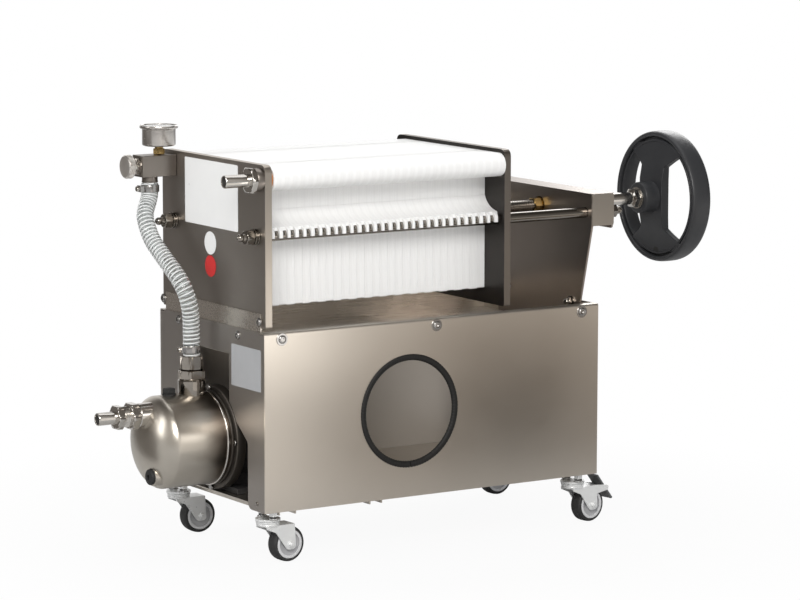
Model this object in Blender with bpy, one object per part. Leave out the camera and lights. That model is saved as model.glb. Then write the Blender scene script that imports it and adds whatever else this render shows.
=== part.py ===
"""Plate filter press on castors.

A folded sheet cabinet carries a pump at its left end and an open drip basin on top.
Two guide rods run from the head plate to the rear shoulder and carry thirty filter plates.
A handwheel turns the spindle, which slides the press plate along the rods.

Metres, +Z up, +X towards the handwheel, -Y is the front with the round hole.
Lengths along X are measured from the cabinet's left end, and the empty "machine" then
brings the whole object over its middle.
"""

import bpy
import bmesh
from math import acos, atan2, cos, pi, radians, sin, tan
from mathutils import Vector

for item in list(bpy.data.objects):
    bpy.data.objects.remove(item, do_unlink=True)

# General fits
SEAT_GAP = 0.0003        # clearance between pieces that touch
RUN_GAP = 0.0005         # clearance where one piece runs in or on another
OVERRUN = 0.010          # how far a cutter passes its work
ROUND_SEGMENTS = 18
FINE_SEGMENTS = 36
WHEEL_SEGMENTS = 20

# Cabinet of folded sheet
SHEET = 0.0015
CABINET_LENGTH = 0.519
CABINET_WIDTH = 0.2734
CABINET_BOTTOM = 0.070
CABINET_TOP = 0.302
PANEL_FLANGE = 0.012     # inward fold along the top of the long panels
BEND_RADIUS = 0.0025

# Round access hole in the front panel, with rubber edging
HOLE_RADIUS = 0.070
HOLE_X = 0.2185
HOLE_Z = 0.1835
EDGING_LIP = 0.0045      # how far the edging covers the sheet around the hole
EDGING_INSIDE = 0.0030   # how far it reaches into the hole
EDGING_WALL = 0.0020
EDGING_ROLL_SHARE = 0.8    # where the lip begins to round over

# Opening in the left end panel, for the pump
SLOT_TOP = 0.2655
SLOT_HALF_WIDTH = 0.0375
SLOT_CENTRE_Y = -0.009
PORTAL_HALF_WIDTH = 0.0937
PORTAL_SHOULDER = 0.156
PORTAL_ROUNDING = 0.010
PORTAL_CLEARANCE = 0.0025   # between the opening's arc and the pump's lantern
PORTAL_ARC_START = radians(25)
FOOT_ROUNDING = 0.009

# Floor pan and the two rails below it
PAN_TOP = 0.0785
PAN_FLANGE = 0.0070
RAIL_BOTTOM = 0.0640
RAIL_HALF_LENGTH = 0.128
RAIL_SHEET = 0.0020
RAIL_PLACES = ((0.0255, 0.0515), (0.1620, 0.1820))

# Drip basin
BASIN_FLOOR = 0.266
BASIN_UPSTAND = 0.3255   # the left wall rises and carries the head plate
HEAD_INSET = 0.0009      # how much narrower the head plate is than the basin, on each side

# Head plate
PLATE_THICKNESS = 0.010
HEAD_BOTTOM = 0.307
HEAD_TOP = 0.515
CORNER_ROUNDING = 0.009

# Axis of the plate pack, of the guide rods and of the spindle
PACK_Y = -0.0055
ROD_Z = 0.4228
ROD_RADIUS = 0.0070
ROD_HALF_SPACING = 0.107
CAP_NUT_RADIUS = 0.0105
CAP_WASHER_RADIUS = 0.0115
CAP_BALL_RADIUS = 0.0072
CAP_WASHER_LENGTH = 0.0085
CAP_NUT_LENGTH = 0.0130
CAP_NECK_LENGTH = 0.0020

# Ports of the plates
PORT_Z = 0.4960
PORT_HALF_SPACING = 0.1145

# Filter plates
PLATE_COUNT = 30
PLATES_PER_BLOCK = 10
PACK_START = 0.0165
PACK_END = 0.3687
PLATE_HALF_WIDTH = 0.0805
PLATE_BOTTOM = 0.328
PLATE_CORNER = 0.004
PORT_BOSS_RADIUS = 0.0155
HOOK_TIP = 0.1195        # reach of the hook from the pack's axis
HOOK_TOP = 0.4425
HOOK_TIP_TOP = 0.4300
HOOK_BOTTOM = 0.4185
GASKET_RADIUS = 0.0130

# Press plate
PRESS_X = 0.369
PRESS_WIDTH = 0.264
PRESS_BOTTOM = 0.3085
PRESS_TOP = 0.5163
CUP_RADIUS = 0.0165
CUP_LENGTH = 0.0175
CUP_BASE = 0.0040

# Rear shoulder: a trapezoid panel with a box channel along its top
SHOULDER_X = 0.5124
SHOULDER_SHEET = 0.0030
SHOULDER_TOP = 0.4492
CHANNEL_BOTTOM = 0.4056
CHANNEL_DEPTH = 0.0361
SHOULDER_HALF_WIDTH = 0.1235
SHOULDER_FOOT_HALF_WIDTH = 0.0980

# Spindle and its brass nut
SPINDLE_RADIUS = 0.0078
SLEEVE_RADIUS = 0.0087
SLEEVE_START = 0.5560
NUT_HEX_RADIUS = 0.0165
NUT_HEX_LENGTH = 0.0105
NUT_NECK_RADIUS = 0.0122
NUT_RING_RADIUS = 0.0160
NUT_RING_LENGTH = 0.0060
LOCK_NUT_RADIUS = 0.0145
LOCK_NUT_LENGTH = 0.0095
LOCK_NUT_X = 0.6765

# Handwheel
WHEEL_X = 0.7235         # middle plane of the rim
WHEEL_RADIUS = 0.0915
RIM_RADIAL = 0.0085
RIM_AXIAL = 0.0300
RIM_POINTS = 10
RIM_SQUARENESS_SHARE = 0.6   # 1 makes the rim's section an ellipse, 0 a rectangle
HUB_RADIUS = 0.0218
CRANK_HOLE_RADIUS = 0.0040
CRANK_HOLE_OFFSET = 0.0745
# The dished web: distance from the axis, half width, and both faces from the rim's middle plane
WEB_STATIONS = (
    (0.0250, 0.0260, -0.0225, -0.0095),
    (0.0430, 0.0260, -0.0190, -0.0095),
    (0.0620, 0.0575, -0.0125, -0.0030),
    (0.0720, 0.0470, -0.0114, -0.0014),
    (0.0800, 0.0330, -0.0114, -0.0014),
    (0.0860, 0.0120, -0.0114, -0.0014),
)

# Pump: stainless can, cast lantern, motor
PUMP_Z = 0.1496
CAN_RADIUS = 0.0605
CAN_SHOULDER = -0.083
CAN_END = -0.001
# The can's dished front: station along the axis and radius, from the flat face outwards
CAN_FACE = (
    (-0.1055, 0.0240),
    (-0.1000, 0.0320),
    (-0.0940, 0.0415),
    (-0.0880, 0.0510),
    (-0.0830, 0.0585),
    (-0.0790, 0.0605),
)
WELD_RADIUS = 0.0625
WELD_START = -0.0135
WELD_END = -0.0050
DISCHARGE_X = -0.029
DISCHARGE_RADIUS = 0.0172
DISCHARGE_TOP = 0.241
SUCTION_RISE = 0.038     # suction axis above the pump's own axis
SUCTION_BOSS_RADIUS = 0.0155
SUCTION_BOSS_X = -0.1110
LANTERN_RADIUS = 0.068
LANTERN_FLANGE = 0.012
LANTERN_END = 0.044
LANTERN_NECK_RADIUS = 0.052
LANTERN_FOOT_HALF_WIDTH = 0.046
LANTERN_FOOT_THICKNESS = 0.008
MOTOR_LENGTH = 0.150
MOTOR_RADIUS = 0.056
MOTOR_FIN_DEPTH = 0.0045
MOTOR_FINS = 24
MOTOR_COVER_LENGTH = 0.034
TERMINAL_BOX_SIZE = (0.070, 0.060, 0.030)

# Plugs of the pump
PLUG_RADIUS = 0.0092
PLUG_LENGTH = 0.0085
PLUG_COLLAR_SHARE = 0.8
PLUG_COLLAR_HEIGHT_SHARE = 0.25
PRIMING_X = -0.0626
DRAIN_DROP = 0.0405
DRAIN_Y = -0.018
DRAIN_RADIUS = 0.0105
DRAIN_LENGTH = 0.0045
DRAIN_FACE_SHARE = 0.8
DRAIN_STRAIGHT_SHARE = 0.8
DRAIN_BOSS_RADIUS = 0.0120
DRAIN_BOSS_X = -0.0992

# Suction union, from the pump outwards
UNION_HEX_RADIUS = 0.0188
UNION_HEX_LENGTH = 0.0115
UNION_BODY_RADIUS = 0.0135
UNION_BODY_LENGTH = 0.0105
UNION_NUT_RADIUS = 0.0169
UNION_NUT_LENGTH = 0.0094
TAIL_RADIUS = 0.0083
TAIL_BORE = 0.0060
SUCTION_TAIL_LENGTH = 0.0248

# Outlet union on the head plate, from the plate outwards
OUTLET_FLANGE_RADIUS = 0.0150
OUTLET_FLANGE_LENGTH = 0.0140
OUTLET_NUT_RADIUS = 0.0180
OUTLET_NUT_LENGTH = 0.0073
OUTLET_TAIL_LENGTH = 0.0302

# Discharge union, hose and clamps
DISCHARGE_HEX_RADIUS = 0.0164
DISCHARGE_HEX_LENGTH = 0.0181
HOSE_RADIUS = 0.0110
CLAMP_RADIUS = 0.0134
CLAMP_LENGTH = 0.0100
CLAMP_SCREW_RADIUS = 0.0040
CLAMP_SCREW_LENGTH = 0.0130
CLAMP_SCREW_OUTSET_SHARE = 0.7
LOWER_CLAMP_SHARE = 0.8      # from the hose's end to the clamp's middle, in clamp lengths
UPPER_CLAMP_SHARE = 0.7

# Valve block behind the gauge
BLOCK_SIDE = 0.0280
BLOCK_LENGTH = 0.0502
BRANCH_X = -0.0290
BRANCH_RADIUS = 0.0104
BRANCH_LENGTH = 0.0085
GLAND_RADIUS = 0.0125
GLAND_LENGTH = 0.0090
KNOB_RADIUS = 0.0155
KNOB_LENGTH = 0.0100
KNOB_STEM_RADIUS = 0.0040
KNOB_STEM_LENGTH = 0.0080

# Gauge on the valve block
GAUGE_X = -0.0150
STEM_RADIUS = 0.0085
STEM_NECK_RADIUS = 0.0055
STEM_HEX_LENGTH = 0.0075
STEM_NECK_LENGTH = 0.0035
GAUGE_RADIUS = 0.0220
GAUGE_BODY_LENGTH = 0.0225
BEZEL_RADIUS = 0.0252
BEZEL_LENGTH = 0.0045
BEZEL_LIP = 0.0022
GLASS_DEPTH = 0.0012

# Castors
WHEEL_TRAIL = 0.028
CASTOR_WHEEL_RADIUS = 0.0234
TYRE_WIDTH = 0.0180
TYRE_WALL = 0.0044
TYRE_ROUNDING = 0.0030
HUB_RECESS = 0.0022
AXLE_RADIUS = 0.0030
FORK_HALF_INSIDE = 0.0105
FORK_SHEET = 0.0018
FORK_TOP = 0.0503
FORK_FRONT = 0.0095
FORK_REAR = 0.0335
FORK_END_RADIUS = 0.0065
FORK_HEEL_SHARE = 1.2
FORK_TOE_SHARE = 0.9
FORK_FOOT_SHARE = 0.8
RACE_RADIUS = 0.0150
RACE_TOP = 0.0562
RACE_NECK_SHARE = 0.75
MOUNT_RADIUS = 0.0165
MOUNT_THICKNESS = 0.0030
STUD_RADIUS = 0.0058
STUD_OFFSET = 0.0137
LUG_REACH = 0.0570
PEDAL_PIVOT = (0.0520, 0.0445)
PEDAL_HALF_WIDTH = 0.0100
PEDAL_THICKNESS = 0.0026
PEDAL_BARREL_RADIUS = 0.0032
PEDAL_UPPER = (-0.0140, 0.0180)   # upper edge, from the pivot
PEDAL_LOWER = (0.0140, -0.0165)   # lower edge, from the pivot
# Each swivel axis: distance from the cabinet's end and side, turn of the wheel, brake or none
CASTOR_INSETS = {
    "front_left": (0.0180, 0.0237, radians(4), False),
    "rear_left": (0.0110, 0.0267, radians(-1), False),
    "front_right": (0.0235, 0.0237, radians(9), True),
    "rear_right": (0.0240, 0.0237, radians(2), True),
}

# Places worked out from the sizes above
HALF_WIDTH = CABINET_WIDTH / 2
CASTORS = {}
for place_name, (end_inset, side_inset, castor_turn, has_brake) in CASTOR_INSETS.items():
    castor_end = CABINET_LENGTH - end_inset if "right" in place_name else end_inset
    castor_side = side_inset - HALF_WIDTH if "front" in place_name else HALF_WIDTH - side_inset
    CASTORS[place_name] = (castor_end, castor_side, castor_turn, has_brake)
BASIN_LEFT = SHEET + SEAT_GAP
BASIN_RIGHT = CABINET_LENGTH - SHEET - SEAT_GAP
BASIN_HALF_WIDTH = HALF_WIDTH - SHEET - SEAT_GAP
HEAD_WIDTH = 2 * (BASIN_HALF_WIDTH - HEAD_INSET)
HEAD_X = BASIN_LEFT + SHEET + SEAT_GAP
HEAD_FACE = HEAD_X - SEAT_GAP
CHANNEL_END = SHOULDER_X + CHANNEL_DEPTH
PORT_FRONT_Y = PACK_Y - PORT_HALF_SPACING
PORT_REAR_Y = PACK_Y + PORT_HALF_SPACING
SUCTION_Z = PUMP_Z + SUCTION_RISE
SUCTION_SEAT = SUCTION_BOSS_X - SEAT_GAP
SUCTION_REACH = (SUCTION_SEAT - UNION_HEX_LENGTH - UNION_BODY_LENGTH - UNION_NUT_LENGTH
                 - SUCTION_TAIL_LENGTH)
WHEEL_REACH = WHEEL_X + RIM_AXIAL / 2
MACHINE_X = -(SUCTION_REACH + WHEEL_REACH) / 2
BLOCK_END = HEAD_FACE - BLOCK_LENGTH
BLOCK_TOP = PORT_Z + BLOCK_SIDE / 2
BRANCH_END = PORT_Z - BLOCK_SIDE / 2 - BRANCH_LENGTH
HOSE_TOP = BRANCH_END - SEAT_GAP
HOSE_BOTTOM = DISCHARGE_TOP + SEAT_GAP + DISCHARGE_HEX_LENGTH + SEAT_GAP
MOUNT_BOTTOM = RACE_TOP + SEAT_GAP


def colour(name, rgb, roughness, metallic):
    """A Principled material with one colour, roughness and metallic value."""
    made = bpy.data.materials.new(name)
    made.use_nodes = True
    shader = made.node_tree.nodes["Principled BSDF"]
    shader.inputs["Base Color"].default_value = (*rgb, 1)
    shader.inputs["Roughness"].default_value = roughness
    shader.inputs["Metallic"].default_value = metallic
    made.diffuse_color = (*rgb, 1)
    return made


BRUSHED = colour("brushed stainless", (0.47, 0.43, 0.38), 0.34, 1)
DARK_BRUSHED = colour("dark brushed stainless", (0.27, 0.24, 0.21), 0.38, 1)
BRIGHT = colour("polished stainless", (0.66, 0.64, 0.60), 0.16, 1)
ZINC = colour("zinc plate", (0.72, 0.72, 0.72), 0.30, 1)
BRASS = colour("brass", (0.76, 0.56, 0.24), 0.28, 1)
CAST = colour("black cast iron", (0.03, 0.03, 0.03), 0.60, 0)
BLACK = colour("black plastic", (0.025, 0.026, 0.028), 0.42, 0)
RUBBER = colour("black rubber", (0.03, 0.03, 0.03), 0.75, 0)
GREY = colour("grey plastic", (0.42, 0.42, 0.43), 0.50, 0)
WHITE = colour("white filter plate", (0.86, 0.87, 0.87), 0.38, 0)
AMBER = colour("amber gasket", (0.72, 0.36, 0.10), 0.50, 0)
CLEAR = colour("clear hose", (0.80, 0.82, 0.80), 0.20, 0)


def empty(name, place, parent=None, turn=0):
    """A joint's or an assembly's origin."""
    made = bpy.data.objects.new(name, None)
    bpy.context.scene.collection.objects.link(made)
    made.location = place
    made.rotation_euler = (0, 0, turn)
    made.parent = parent
    return made


def piece(name, bm, look, parent, place=(0, 0, 0), sharp=35):
    """One object from a finished bmesh, with outward faces and smooth shading."""
    bmesh.ops.recalc_face_normals(bm, faces=bm.faces)
    mesh = bpy.data.meshes.new(name)
    bm.to_mesh(mesh)
    bm.free()
    mesh.materials.append(look)
    mesh.shade_smooth()
    mesh.set_sharp_from_angle(angle=radians(sharp))
    made = bpy.data.objects.new(name, mesh)
    bpy.context.scene.collection.objects.link(made)
    made.location = place
    made.parent = parent
    return made


def shaped(work, name, bm, operation="DIFFERENCE"):
    """Cuts a shape from the work, or joins it on, with a Boolean whose tool stays hidden."""
    tool = piece(name, bm, work.data.materials[0], work.parent, work.location)
    tool.hide_render = True
    tool.display_type = "WIRE"
    change = work.modifiers.new(name, "BOOLEAN")
    change.operation = operation
    change.object = tool
    return work


def at(axis, along, a, b):
    """A point from its distance along an axis and its two places across it."""
    return {"X": (along, a, b), "Y": (a, along, b), "Z": (a, b, along)}[axis]


def box(low, high):
    """A box between two corners."""
    bm = bmesh.new()
    made = bmesh.ops.create_cube(bm, size=1)
    for vert in made["verts"]:
        vert.co = [low[i] if vert.co[i] < 0 else high[i] for i in range(3)]
    return bm


def prism(outline, axis, start, end):
    """An outline extruded along an axis."""
    bm = bmesh.new()
    face = bm.faces.new([bm.verts.new(at(axis, start, a, b)) for a, b in outline])
    grown = bmesh.ops.extrude_face_region(bm, geom=[face])
    moved = [v for v in grown["geom"] if isinstance(v, bmesh.types.BMVert)]
    bmesh.ops.translate(bm, vec=at(axis, end - start, 0, 0), verts=moved)
    return bm


def filleted(corners, steps=4):
    """An outline whose corners (a, b, radius) are rounded."""
    outline = []
    count = len(corners)
    for i, (a, b, radius) in enumerate(corners):
        here = Vector((a, b))
        if not radius:
            outline.append((a, b))
            continue
        before = (Vector(corners[i - 1][:2]) - here).normalized()
        after = (Vector(corners[(i + 1) % count][:2]) - here).normalized()
        half = acos(max(-1, min(1, before.dot(after)))) / 2
        centre = here + (before + after).normalized() * (radius / sin(half))
        first = here + before * (radius / tan(half)) - centre
        last = here + after * (radius / tan(half)) - centre
        begin = atan2(first.y, first.x)
        sweep = (atan2(last.y, last.x) - begin + pi) % (2 * pi) - pi
        for step in range(steps + 1):
            angle = begin + sweep * step / steps
            outline.append((centre.x + radius * cos(angle), centre.y + radius * sin(angle)))
    return outline


def loop_of(bm, axis, centre, along, radius, sides, segments):
    """One loop of a turned piece: round, or with flats where sides is given."""
    loop = []
    for i in range(segments):
        angle = 2 * pi * i / segments
        reach = radius
        if sides:
            wedge = 2 * pi / sides
            reach = radius * cos(wedge / 2) / cos(angle % wedge - wedge / 2)
        a = centre[0] + reach * cos(angle)
        b = centre[1] + reach * sin(angle)
        loop.append(bm.verts.new(at(axis, along, a, b)))
    return loop


def turned(sections, axis="X", centre=(0, 0), segments=ROUND_SEGMENTS, through=False):
    """A turned piece. Each section is (along, radius) or (along, radius, sides), in order
    over the surface. A through bore closes the last section back onto the first."""
    bm = bmesh.new()
    loops = []
    for along, radius, *sides in sections:
        loops.append(loop_of(bm, axis, centre, along, radius, sides[0] if sides else 0, segments))
    pairs = list(zip(loops, loops[1:]))
    if through:
        pairs.append((loops[-1], loops[0]))
    else:
        bm.faces.new(loops[0])
        bm.faces.new(loops[-1])
    for first, second in pairs:
        for i in range(segments):
            j = (i + 1) % segments
            bm.faces.new((first[i], first[j], second[j], second[i]))
    return bm


def tube_end(start, end, radius, bore):
    """Sections of a tail pipe from its root to its open end, and back down its blind bore."""
    return [(start, radius), (end, radius), (end, bore), (start, bore)]


machine = empty("machine", (MACHINE_X, 0, 0))


# Cabinet panels

def long_panel(name, side):
    """A long panel folded inwards along its top. The side is -1 at the front, 1 at the rear."""
    outer = side * HALF_WIDTH
    inner = side * (HALF_WIDTH - SHEET)
    lip = side * (HALF_WIDTH - PANEL_FLANGE)
    outline = filleted([
        (outer, CABINET_BOTTOM, 0),
        (outer, CABINET_TOP, BEND_RADIUS),
        (lip, CABINET_TOP, 0),
        (lip, CABINET_TOP - SHEET, 0),
        (inner, CABINET_TOP - SHEET, BEND_RADIUS - SHEET),
        (inner, CABINET_BOTTOM, 0),
    ], steps=3)
    return piece(name, prism(outline, "X", 0, CABINET_LENGTH), BRUSHED, machine)


front_panel = long_panel("front_panel", -1)
back_panel = long_panel("back_panel", 1)
shaped(front_panel, "access_hole", turned(
    [(-HALF_WIDTH - OVERRUN, HOLE_RADIUS), (-HALF_WIDTH + OVERRUN, HOLE_RADIUS)],
    "Y", (HOLE_X, HOLE_Z), FINE_SEGMENTS))

# Rubber edging: a C section that grips the sheet all round the hole
EDGING_FRONT = -HALF_WIDTH - EDGING_WALL
EDGING_BACK = -HALF_WIDTH + SHEET + EDGING_WALL
GRIP_FRONT = -HALF_WIDTH - SEAT_GAP
GRIP_BACK = -HALF_WIDTH + SHEET + SEAT_GAP
GRIP_RADIUS = HOLE_RADIUS - RUN_GAP
piece("hole_trim", turned([
    (EDGING_FRONT, HOLE_RADIUS - EDGING_INSIDE / 2),
    (EDGING_FRONT, HOLE_RADIUS + EDGING_LIP * EDGING_ROLL_SHARE),
    (GRIP_FRONT, HOLE_RADIUS + EDGING_LIP),
    (GRIP_FRONT, GRIP_RADIUS),
    (GRIP_BACK, GRIP_RADIUS),
    (GRIP_BACK, HOLE_RADIUS + EDGING_LIP),
    (EDGING_BACK, HOLE_RADIUS + EDGING_LIP * EDGING_ROLL_SHARE),
    (EDGING_BACK, HOLE_RADIUS - EDGING_INSIDE / 2),
    (-HALF_WIDTH + SHEET, HOLE_RADIUS - EDGING_INSIDE),
    (-HALF_WIDTH, HOLE_RADIUS - EDGING_INSIDE),
], "Y", (HOLE_X, HOLE_Z), FINE_SEGMENTS, through=True), RUBBER, machine)

# End panels stand between the long panels and under their folds
END_HALF_WIDTH = HALF_WIDTH - SHEET - SEAT_GAP
END_SHOULDER = CABINET_TOP - BEND_RADIUS - SEAT_GAP
END_LIP = HALF_WIDTH - PANEL_FLANGE - SEAT_GAP
END_CORNERS = [
    (-END_HALF_WIDTH, CABINET_BOTTOM, 0),
    (-END_HALF_WIDTH, END_SHOULDER, 0),
    (-END_LIP, END_SHOULDER, 0),
    (-END_LIP, CABINET_TOP, 0),
    (END_LIP, CABINET_TOP, 0),
    (END_LIP, END_SHOULDER, 0),
    (END_HALF_WIDTH, END_SHOULDER, 0),
    (END_HALF_WIDTH, CABINET_BOTTOM, 0),
]
SLOT_LEFT = SLOT_CENTRE_Y - SLOT_HALF_WIDTH
SLOT_RIGHT = SLOT_CENTRE_Y + SLOT_HALF_WIDTH
ARC_RADIUS = LANTERN_RADIUS + PORTAL_CLEARANCE


def lantern_arc(first, last, steps=5):
    """Corners of the opening along its arc round the lantern, between two angles."""
    angles = [first + (last - first) * step / steps for step in range(steps + 1)]
    return [(ARC_RADIUS * cos(a), PUMP_Z + ARC_RADIUS * sin(a), 0) for a in angles]


piece("end_panel_left", prism(filleted(END_CORNERS + [
    (PORTAL_HALF_WIDTH, CABINET_BOTTOM, FOOT_ROUNDING),
    (PORTAL_HALF_WIDTH, PORTAL_SHOULDER, PORTAL_ROUNDING),
] + lantern_arc(PORTAL_ARC_START, acos(SLOT_RIGHT / ARC_RADIUS)) + [
    (SLOT_RIGHT, SLOT_TOP, 0),
    (SLOT_LEFT, SLOT_TOP, 0),
] + lantern_arc(acos(SLOT_LEFT / ARC_RADIUS), pi - PORTAL_ARC_START) + [
    (-PORTAL_HALF_WIDTH, PORTAL_SHOULDER, PORTAL_ROUNDING),
    (-PORTAL_HALF_WIDTH, CABINET_BOTTOM, FOOT_ROUNDING),
]), "X", 0, SHEET), BRUSHED, machine)
piece("end_panel_right", prism(filleted(END_CORNERS), "X", CABINET_LENGTH - SHEET, CABINET_LENGTH),
      BRUSHED, machine)

# Floor pan, folded down along both long sides
PAN_HALF_WIDTH = HALF_WIDTH - SHEET - SEAT_GAP
piece("floor_pan", prism([
    (-PAN_HALF_WIDTH, PAN_TOP - PAN_FLANGE),
    (-PAN_HALF_WIDTH, PAN_TOP),
    (PAN_HALF_WIDTH, PAN_TOP),
    (PAN_HALF_WIDTH, PAN_TOP - PAN_FLANGE),
    (PAN_HALF_WIDTH - SHEET, PAN_TOP - PAN_FLANGE),
    (PAN_HALF_WIDTH - SHEET, PAN_TOP - SHEET),
    (-PAN_HALF_WIDTH + SHEET, PAN_TOP - SHEET),
    (-PAN_HALF_WIDTH + SHEET, PAN_TOP - PAN_FLANGE),
], "X", SHEET + SEAT_GAP, CABINET_LENGTH - SHEET - SEAT_GAP), DARK_BRUSHED, machine)

RAIL_TOP = PAN_TOP - SHEET - SEAT_GAP
for number, (rail_left, rail_right) in enumerate(RAIL_PLACES, 1):
    piece(f"cross_rail_{number}", prism([
        (rail_left, RAIL_BOTTOM),
        (rail_left, RAIL_TOP),
        (rail_right, RAIL_TOP),
        (rail_right, RAIL_BOTTOM),
        (rail_right - RAIL_SHEET, RAIL_BOTTOM),
        (rail_right - RAIL_SHEET, RAIL_TOP - RAIL_SHEET),
        (rail_left + RAIL_SHEET, RAIL_TOP - RAIL_SHEET),
        (rail_left + RAIL_SHEET, RAIL_BOTTOM),
    ], "Y", -RAIL_HALF_LENGTH, RAIL_HALF_LENGTH), DARK_BRUSHED, machine)

# Drip basin: an open box under the plates whose left wall stands up behind the head plate
BASIN_BASE = BASIN_FLOOR - SHEET
BASIN_RIM = CABINET_TOP - BEND_RADIUS - SEAT_GAP
drip_basin = piece("drip_basin", box(
    (BASIN_LEFT, -BASIN_HALF_WIDTH, BASIN_BASE),
    (BASIN_RIGHT, BASIN_HALF_WIDTH, BASIN_RIM)), BRUSHED, machine)
shaped(drip_basin, "basin_space", box(
    (BASIN_LEFT + SHEET, -BASIN_HALF_WIDTH + SHEET, BASIN_FLOOR),
    (BASIN_RIGHT - SHEET, BASIN_HALF_WIDTH - SHEET, BASIN_RIM + OVERRUN)))
shaped(drip_basin, "basin_upstand", box(
    (BASIN_LEFT, -HALF_WIDTH + PANEL_FLANGE + SEAT_GAP, BASIN_FLOOR),
    (BASIN_LEFT + SHEET, HALF_WIDTH - PANEL_FLANGE - SEAT_GAP, BASIN_UPSTAND)), "UNION")


# Press frame: head plate, guide rods and rear shoulder

def pressure_plate(name, width, bottom, top, middle, parent, start, look):
    """A thick plate with rounded corners and a clearance hole for each guide rod."""
    half = width / 2
    outline = filleted([
        (middle - half, bottom, CORNER_ROUNDING / 3),
        (middle - half, top, CORNER_ROUNDING),
        (middle + half, top, CORNER_ROUNDING),
        (middle + half, bottom, CORNER_ROUNDING / 3),
    ])
    plate = piece(name, prism(outline, "X", start, start + PLATE_THICKNESS), look, parent)
    for side in (-1, 1):
        shaped(plate, f"{name}_rod_hole", turned(
            [(start - OVERRUN, ROD_RADIUS + RUN_GAP),
             (start + PLATE_THICKNESS + OVERRUN, ROD_RADIUS + RUN_GAP)],
            "X", (PACK_Y + side * ROD_HALF_SPACING, ROD_Z)))
    return plate


head_plate = pressure_plate("head_plate", HEAD_WIDTH, HEAD_BOTTOM, HEAD_TOP, 0, machine,
                            HEAD_X, DARK_BRUSHED)


def cap_nut(seat, outward):
    """Sections of a washer, a hexagon nut and its ball, from the seat outwards."""
    washer = seat + outward * CAP_WASHER_LENGTH
    nut = washer + outward * CAP_NUT_LENGTH
    neck = nut + outward * CAP_NECK_LENGTH
    sections = [
        (seat, CAP_WASHER_RADIUS),
        (washer, CAP_WASHER_RADIUS),
        (washer, CAP_NUT_RADIUS, 6),
        (nut, CAP_NUT_RADIUS, 6),
        (nut, CAP_BALL_RADIUS * sin(radians(50))),
        (neck, CAP_BALL_RADIUS * sin(radians(50))),
    ]
    middle = neck + outward * CAP_BALL_RADIUS * cos(radians(50))
    for degrees in (80, 50, 22):
        sections.append((middle + outward * CAP_BALL_RADIUS * cos(radians(degrees)),
                         CAP_BALL_RADIUS * sin(radians(degrees))))
    return sections


LEFT_SEAT = HEAD_X - SEAT_GAP
RIGHT_SEAT = CHANNEL_END + SEAT_GAP
for rod_name, side in (("guide_rod_front", -1), ("guide_rod_rear", 1)):
    left_cap = list(reversed(cap_nut(LEFT_SEAT, -1)))
    right_cap = cap_nut(RIGHT_SEAT, 1)
    piece(rod_name, turned(
        left_cap + [(LEFT_SEAT, ROD_RADIUS), (RIGHT_SEAT, ROD_RADIUS)] + right_cap,
        "X", (PACK_Y + side * ROD_HALF_SPACING, ROD_Z)), BRIGHT, machine)

# Rear shoulder: trapezoid panel in the basin, box channel at its top, open below
SHOULDER_BOTTOM = BASIN_FLOOR + SEAT_GAP
rear_shoulder = piece("rear_shoulder", prism([
    (PACK_Y - SHOULDER_HALF_WIDTH, SHOULDER_TOP),
    (PACK_Y + SHOULDER_HALF_WIDTH, SHOULDER_TOP),
    (PACK_Y + SHOULDER_HALF_WIDTH, CHANNEL_BOTTOM),
    (PACK_Y + SHOULDER_FOOT_HALF_WIDTH, CABINET_TOP),
    (PACK_Y + SHOULDER_FOOT_HALF_WIDTH, SHOULDER_BOTTOM),
    (PACK_Y - SHOULDER_FOOT_HALF_WIDTH, SHOULDER_BOTTOM),
    (PACK_Y - SHOULDER_FOOT_HALF_WIDTH, CABINET_TOP),
    (PACK_Y - SHOULDER_HALF_WIDTH, CHANNEL_BOTTOM),
], "X", SHOULDER_X, SHOULDER_X + SHOULDER_SHEET), DARK_BRUSHED, machine)
shaped(rear_shoulder, "channel", box(
    (SHOULDER_X, PACK_Y - SHOULDER_HALF_WIDTH, CHANNEL_BOTTOM),
    (CHANNEL_END, PACK_Y + SHOULDER_HALF_WIDTH, SHOULDER_TOP)), "UNION")
shaped(rear_shoulder, "channel_space", box(
    (SHOULDER_X + SHOULDER_SHEET, PACK_Y - SHOULDER_HALF_WIDTH + SHOULDER_SHEET,
     CHANNEL_BOTTOM - OVERRUN),
    (CHANNEL_END - SHOULDER_SHEET, PACK_Y + SHOULDER_HALF_WIDTH - SHOULDER_SHEET,
     SHOULDER_TOP - SHOULDER_SHEET)))
for side in (-1, 1):
    shaped(rear_shoulder, "shoulder_rod_hole", turned(
        [(SHOULDER_X - OVERRUN, ROD_RADIUS + RUN_GAP), (CHANNEL_END + OVERRUN, ROD_RADIUS + RUN_GAP)],
        "X", (PACK_Y + side * ROD_HALF_SPACING, ROD_Z)))
shaped(rear_shoulder, "nut_hole", turned(
    [(SHOULDER_X - OVERRUN, NUT_NECK_RADIUS + SEAT_GAP),
     (SHOULDER_X + SHOULDER_SHEET + OVERRUN, NUT_NECK_RADIUS + SEAT_GAP)], "X", (PACK_Y, ROD_Z)))
shaped(rear_shoulder, "spindle_hole", turned(
    [(CHANNEL_END - SHOULDER_SHEET - OVERRUN, SPINDLE_RADIUS + 2 * RUN_GAP),
     (CHANNEL_END + OVERRUN, SPINDLE_RADIUS + 2 * RUN_GAP)], "X", (PACK_Y, ROD_Z)))

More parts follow.
